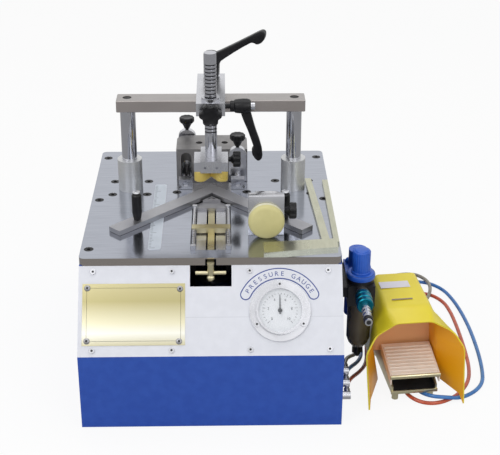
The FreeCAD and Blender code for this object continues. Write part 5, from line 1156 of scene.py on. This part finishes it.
WIRE_RADIUS = 0.0005
outer = (spring_high.z - spring_low.z) / 2
middle = (spring_low.x + spring_high.x) / 2
apart = (spring_high.x - spring_low.x) / 2 - outer
pair = bmesh.new()
for x in (middle - apart, middle + apart):
    join(pair, coil(x, outer - WIRE_RADIUS, WIRE_RADIUS))
springs = make_piece("pusher_coil_springs", pair, spring_wire, "base")
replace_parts(springs, "pusher_springs")
FIXED_END, PULL = -0.1288, 0.04
length = spring_high.y - FIXED_END
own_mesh(springs)
print("springs from y = %.4f to %.4f m" % (spring_low.y, spring_high.y))

# %% [markdown]
# ## Quick coupler
# The supply hose plugs into a sprung sleeve of teal anodised alloy. The fingers grip its raised
# middle band, which has a groove on either side. The nipple's barbs point at the operator, and a
# black ring and a black disc of painted shade in its bore finish its end.

# %% Coupler sleeve and nipple cap
sleeve = lathe(mm([(5.56, 0), (10.6, 0), (12, 1.6), (12, 8), (11.2, 9), (11.2, 11), (12.5, 12),
                   (12.5, 20), (11.2, 21), (11.2, 23), (12.3, 24), (12.3, 30.5), (11, 32),
                   (5.56, 32)]), 64, closed=True)
sleeve_piece = make_piece("coupler_knurled_sleeve", move(sleeve, at(224, -150, 166) @ TO_FRONT), teal_alloy,
                          "coupler_sleeve")
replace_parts(sleeve_piece, "coupler_sleeve")
dust_cap = lathe(mm([(5.6, 0), (6.9, 0.6), (6.9, 5.6), (6.2, 7), (4.4, 7), (4.4, 5), (5.6, 5)]), 40,
                 closed=True)
make_piece("nipple_dust_ring", move(dust_cap, at(224, -217.4, 166) @ TO_FRONT), black_oxide, "base")
# Painted shade: a black disc stands for the dark inside of the nipple's bore.
shade_disc = move(rod(3.4, 0, 0.3, 32), at(224, -227.9, 166) @ TO_FRONT)
make_piece("nipple_bore_shade", shade_disc, ink_and_shade_black, "base")
print("coupler made")

# %% [markdown]
# ## Foot guard
# The hood over the treadle is one pressed sheet: a raked mouth that flares to the floor, a
# narrower waist and a flat roof. Three rows of corners lay out its folds, and the faces between
# the rows make an open sheet. A corner in each front side lifts the bottom edge over the bench, so
# that the hoses pass. The folds are rounded first, and then the sheet gets its thickness inwards.

# %% Guard from three rows of corners
IN_PEDAL = at(306.9, -196.1, 0) @ Matrix.Rotation(math.radians(6), 4, "Z")
GUARD_GAUGE = 2.4


def guard_row(right, left):
    """One row of corners across the hood, from the right foot over the roof to the left foot."""
    mirrored = [(-u, v, z) for u, v, z in reversed(left)]
    return [Vector(point) / 1000 for point in right + mirrored]


def pressed_guard():
    """The hood, drawn in the foot valve's own frame: across, along and up."""
    mouth = [(73.5, 0, 0), (76, 25, 82), (60, 35, 107), (28, 40, 123)]
    waist_right = [(46, 66, 12), (42, 66, 80), (38, 66, 119), (30, 66, 137)]
    waist_left = [(47, 66, 12), (60, 66, 80), (57, 66, 111), (40, 66, 135)]
    rear_right = [(40, 165, 12), (37, 165, 80), (35, 165, 124), (30, 165, 139)]
    rear_left = [(45, 165, 12), (44, 165, 80), (41, 165, 122), (34, 165, 139)]
    rows = [guard_row(mouth, mouth), guard_row(waist_right, waist_left), guard_row(rear_right, rear_left)]
    bm = bmesh.new()
    grid = [[bm.verts.new(point) for point in row] for row in rows]
    lifts = [bm.verts.new((u / 1000, 0.0105, 0.012)) for u in (69.1, -70.7)]
    last = len(rows[0]) - 2
    for near, far in zip(grid, grid[1:]):
        for i in range(last + 1):
            loop = [near[i], near[i + 1], far[i + 1], far[i]]
            if near is grid[0] and i == 0:
                loop.append(lifts[0])
            if near is grid[0] and i == last:
                loop.insert(2, lifts[1])
            bm.faces.new(loop)
    bmesh.ops.recalc_face_normals(bm, faces=bm.faces)
    folds = [edge for edge in bm.edges if len(edge.link_faces) == 2]
    bmesh.ops.bevel(bm, geom=folds, offset=0.0055, offset_type="OFFSET", segments=4, profile=0.5,
                    affect="EDGES", material=-1, clamp_overlap=True)
    bmesh.ops.recalc_face_normals(bm, faces=bm.faces)
    if sum(face.normal.z * face.calc_area() for face in bm.faces) < 0:
        bmesh.ops.reverse_faces(bm, faces=bm.faces)
    bmesh.ops.solidify(bm, geom=bm.faces[:], thickness=GUARD_GAUGE / 1000)
    move(bm, IN_PEDAL)
    piece = make_piece("pressed_foot_guard", bm, guard_yellow_and_painted_shade, "base", smooth=40)
    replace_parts(piece, "pedal_guard")


pressed_guard()

# %% [markdown]
# ## On and in the guard
# A bare label sits on the guard's roof, and in front of it a narrow strip of painted shade stands
# for the slot that takes the latch. The roof rises 2 mm over its 99 mm, so both are tilted with it.
# Inside, a cross plate closes the hood behind the treadle. Its orange-beige is partly painted
# light: the yellow hood's light bounced onto it.

# %% Guard label, painted shade of the slot and cross plate
ON_ROOF = at(0, 0, 135.95) @ Matrix.Rotation(math.atan2(2, 99), 4, "X")
label_white = finish("label_white", (226, 222, 228), 0.0, 0.45)
label = move(prism(rectangle(-34, 121, 12, 140), 0.0004), ON_ROOF)
make_piece("guard_label", move(label, IN_PEDAL), label_white, "base")
# Painted shade: a thin grey-brown strip stands for the dark inside of the latch slot.
slot_painted_shade = finish("slot_painted_shade", (150, 132, 120), 0.0, 0.5)
slot_shade_strip = move(prism(rectangle(-25, 85, 7, 88), 0.0003), ON_ROOF)
make_piece("guard_slot_shade", move(slot_shade_strip, IN_PEDAL), slot_painted_shade, "base")
# Partly painted light: the plate's orange-beige stands for the yellow hood's light bounced onto it.
cross_plate_bounce_tint = finish("cross_plate_enamel_and_bounce", (236, 180, 128), 0.0, 0.45)
CROSS_OUTLINE = [(-48, 46), (39, 46), (39, 80), (35, 118), (28, 130), (-34, 128), (-46, 110), (-50, 80)]
cross = move(prism(mm(CROSS_OUTLINE), 0.0015), IN_PEDAL @ at(0, 94, 0) @ TO_FRONT)
make_piece("guard_cross_plate", cross, cross_plate_bounce_tint, "base")
print("guard label and cross plate made")

# %% [markdown]
# ## Foot valve's edges
# The treadle ends in a rounded bright lip that the shoe meets first, and the channel under it
# has a rolled front edge. Its inside is lined with black rubber. Both lips are drawn from the
# side: one matrix turns the outline's two directions into along and up, and its length goes
# across the treadle.

# %% Lips of the treadle and its channel, and the rubber lining
FROM_SIDE = Matrix(((0, 0, 1, -0.0385), (1, 0, 0, 0), (0, 1, 0, 0), (0, 0, 0, 1)))
lip = prism(mm([(14.8, 41.4), (15.6, 40.4), (18.2, 40.4), (18.2, 46.4), (16, 46.6), (14.8, 45)]), 0.077)
ease(lip, 0.0012, 3)
make_piece("treadle_lip", move(lip, IN_PEDAL @ FROM_SIDE), pale_brass, "treadle")
edge = ease(prism(rectangle(16.6, 13, 19.6, 18.6), 0.072), 0.0009)
move(edge, IN_PEDAL @ at(2.5, 0, 0) @ FROM_SIDE)
make_piece("channel_lip", edge, pale_brass, "base")
lining = prism(mm([(-32.3, 15.6), (32.3, 15.6), (32.3, 24), (31.6, 24), (31.6, 16.2), (-31.6, 16.2),
                   (-31.6, 24), (-32.3, 24)]), 0.075)
move(lining, IN_PEDAL @ at(0, 96, 0) @ TO_FRONT)
make_piece("channel_lining", lining, soft_black, "base")
print("foot valve edges made")
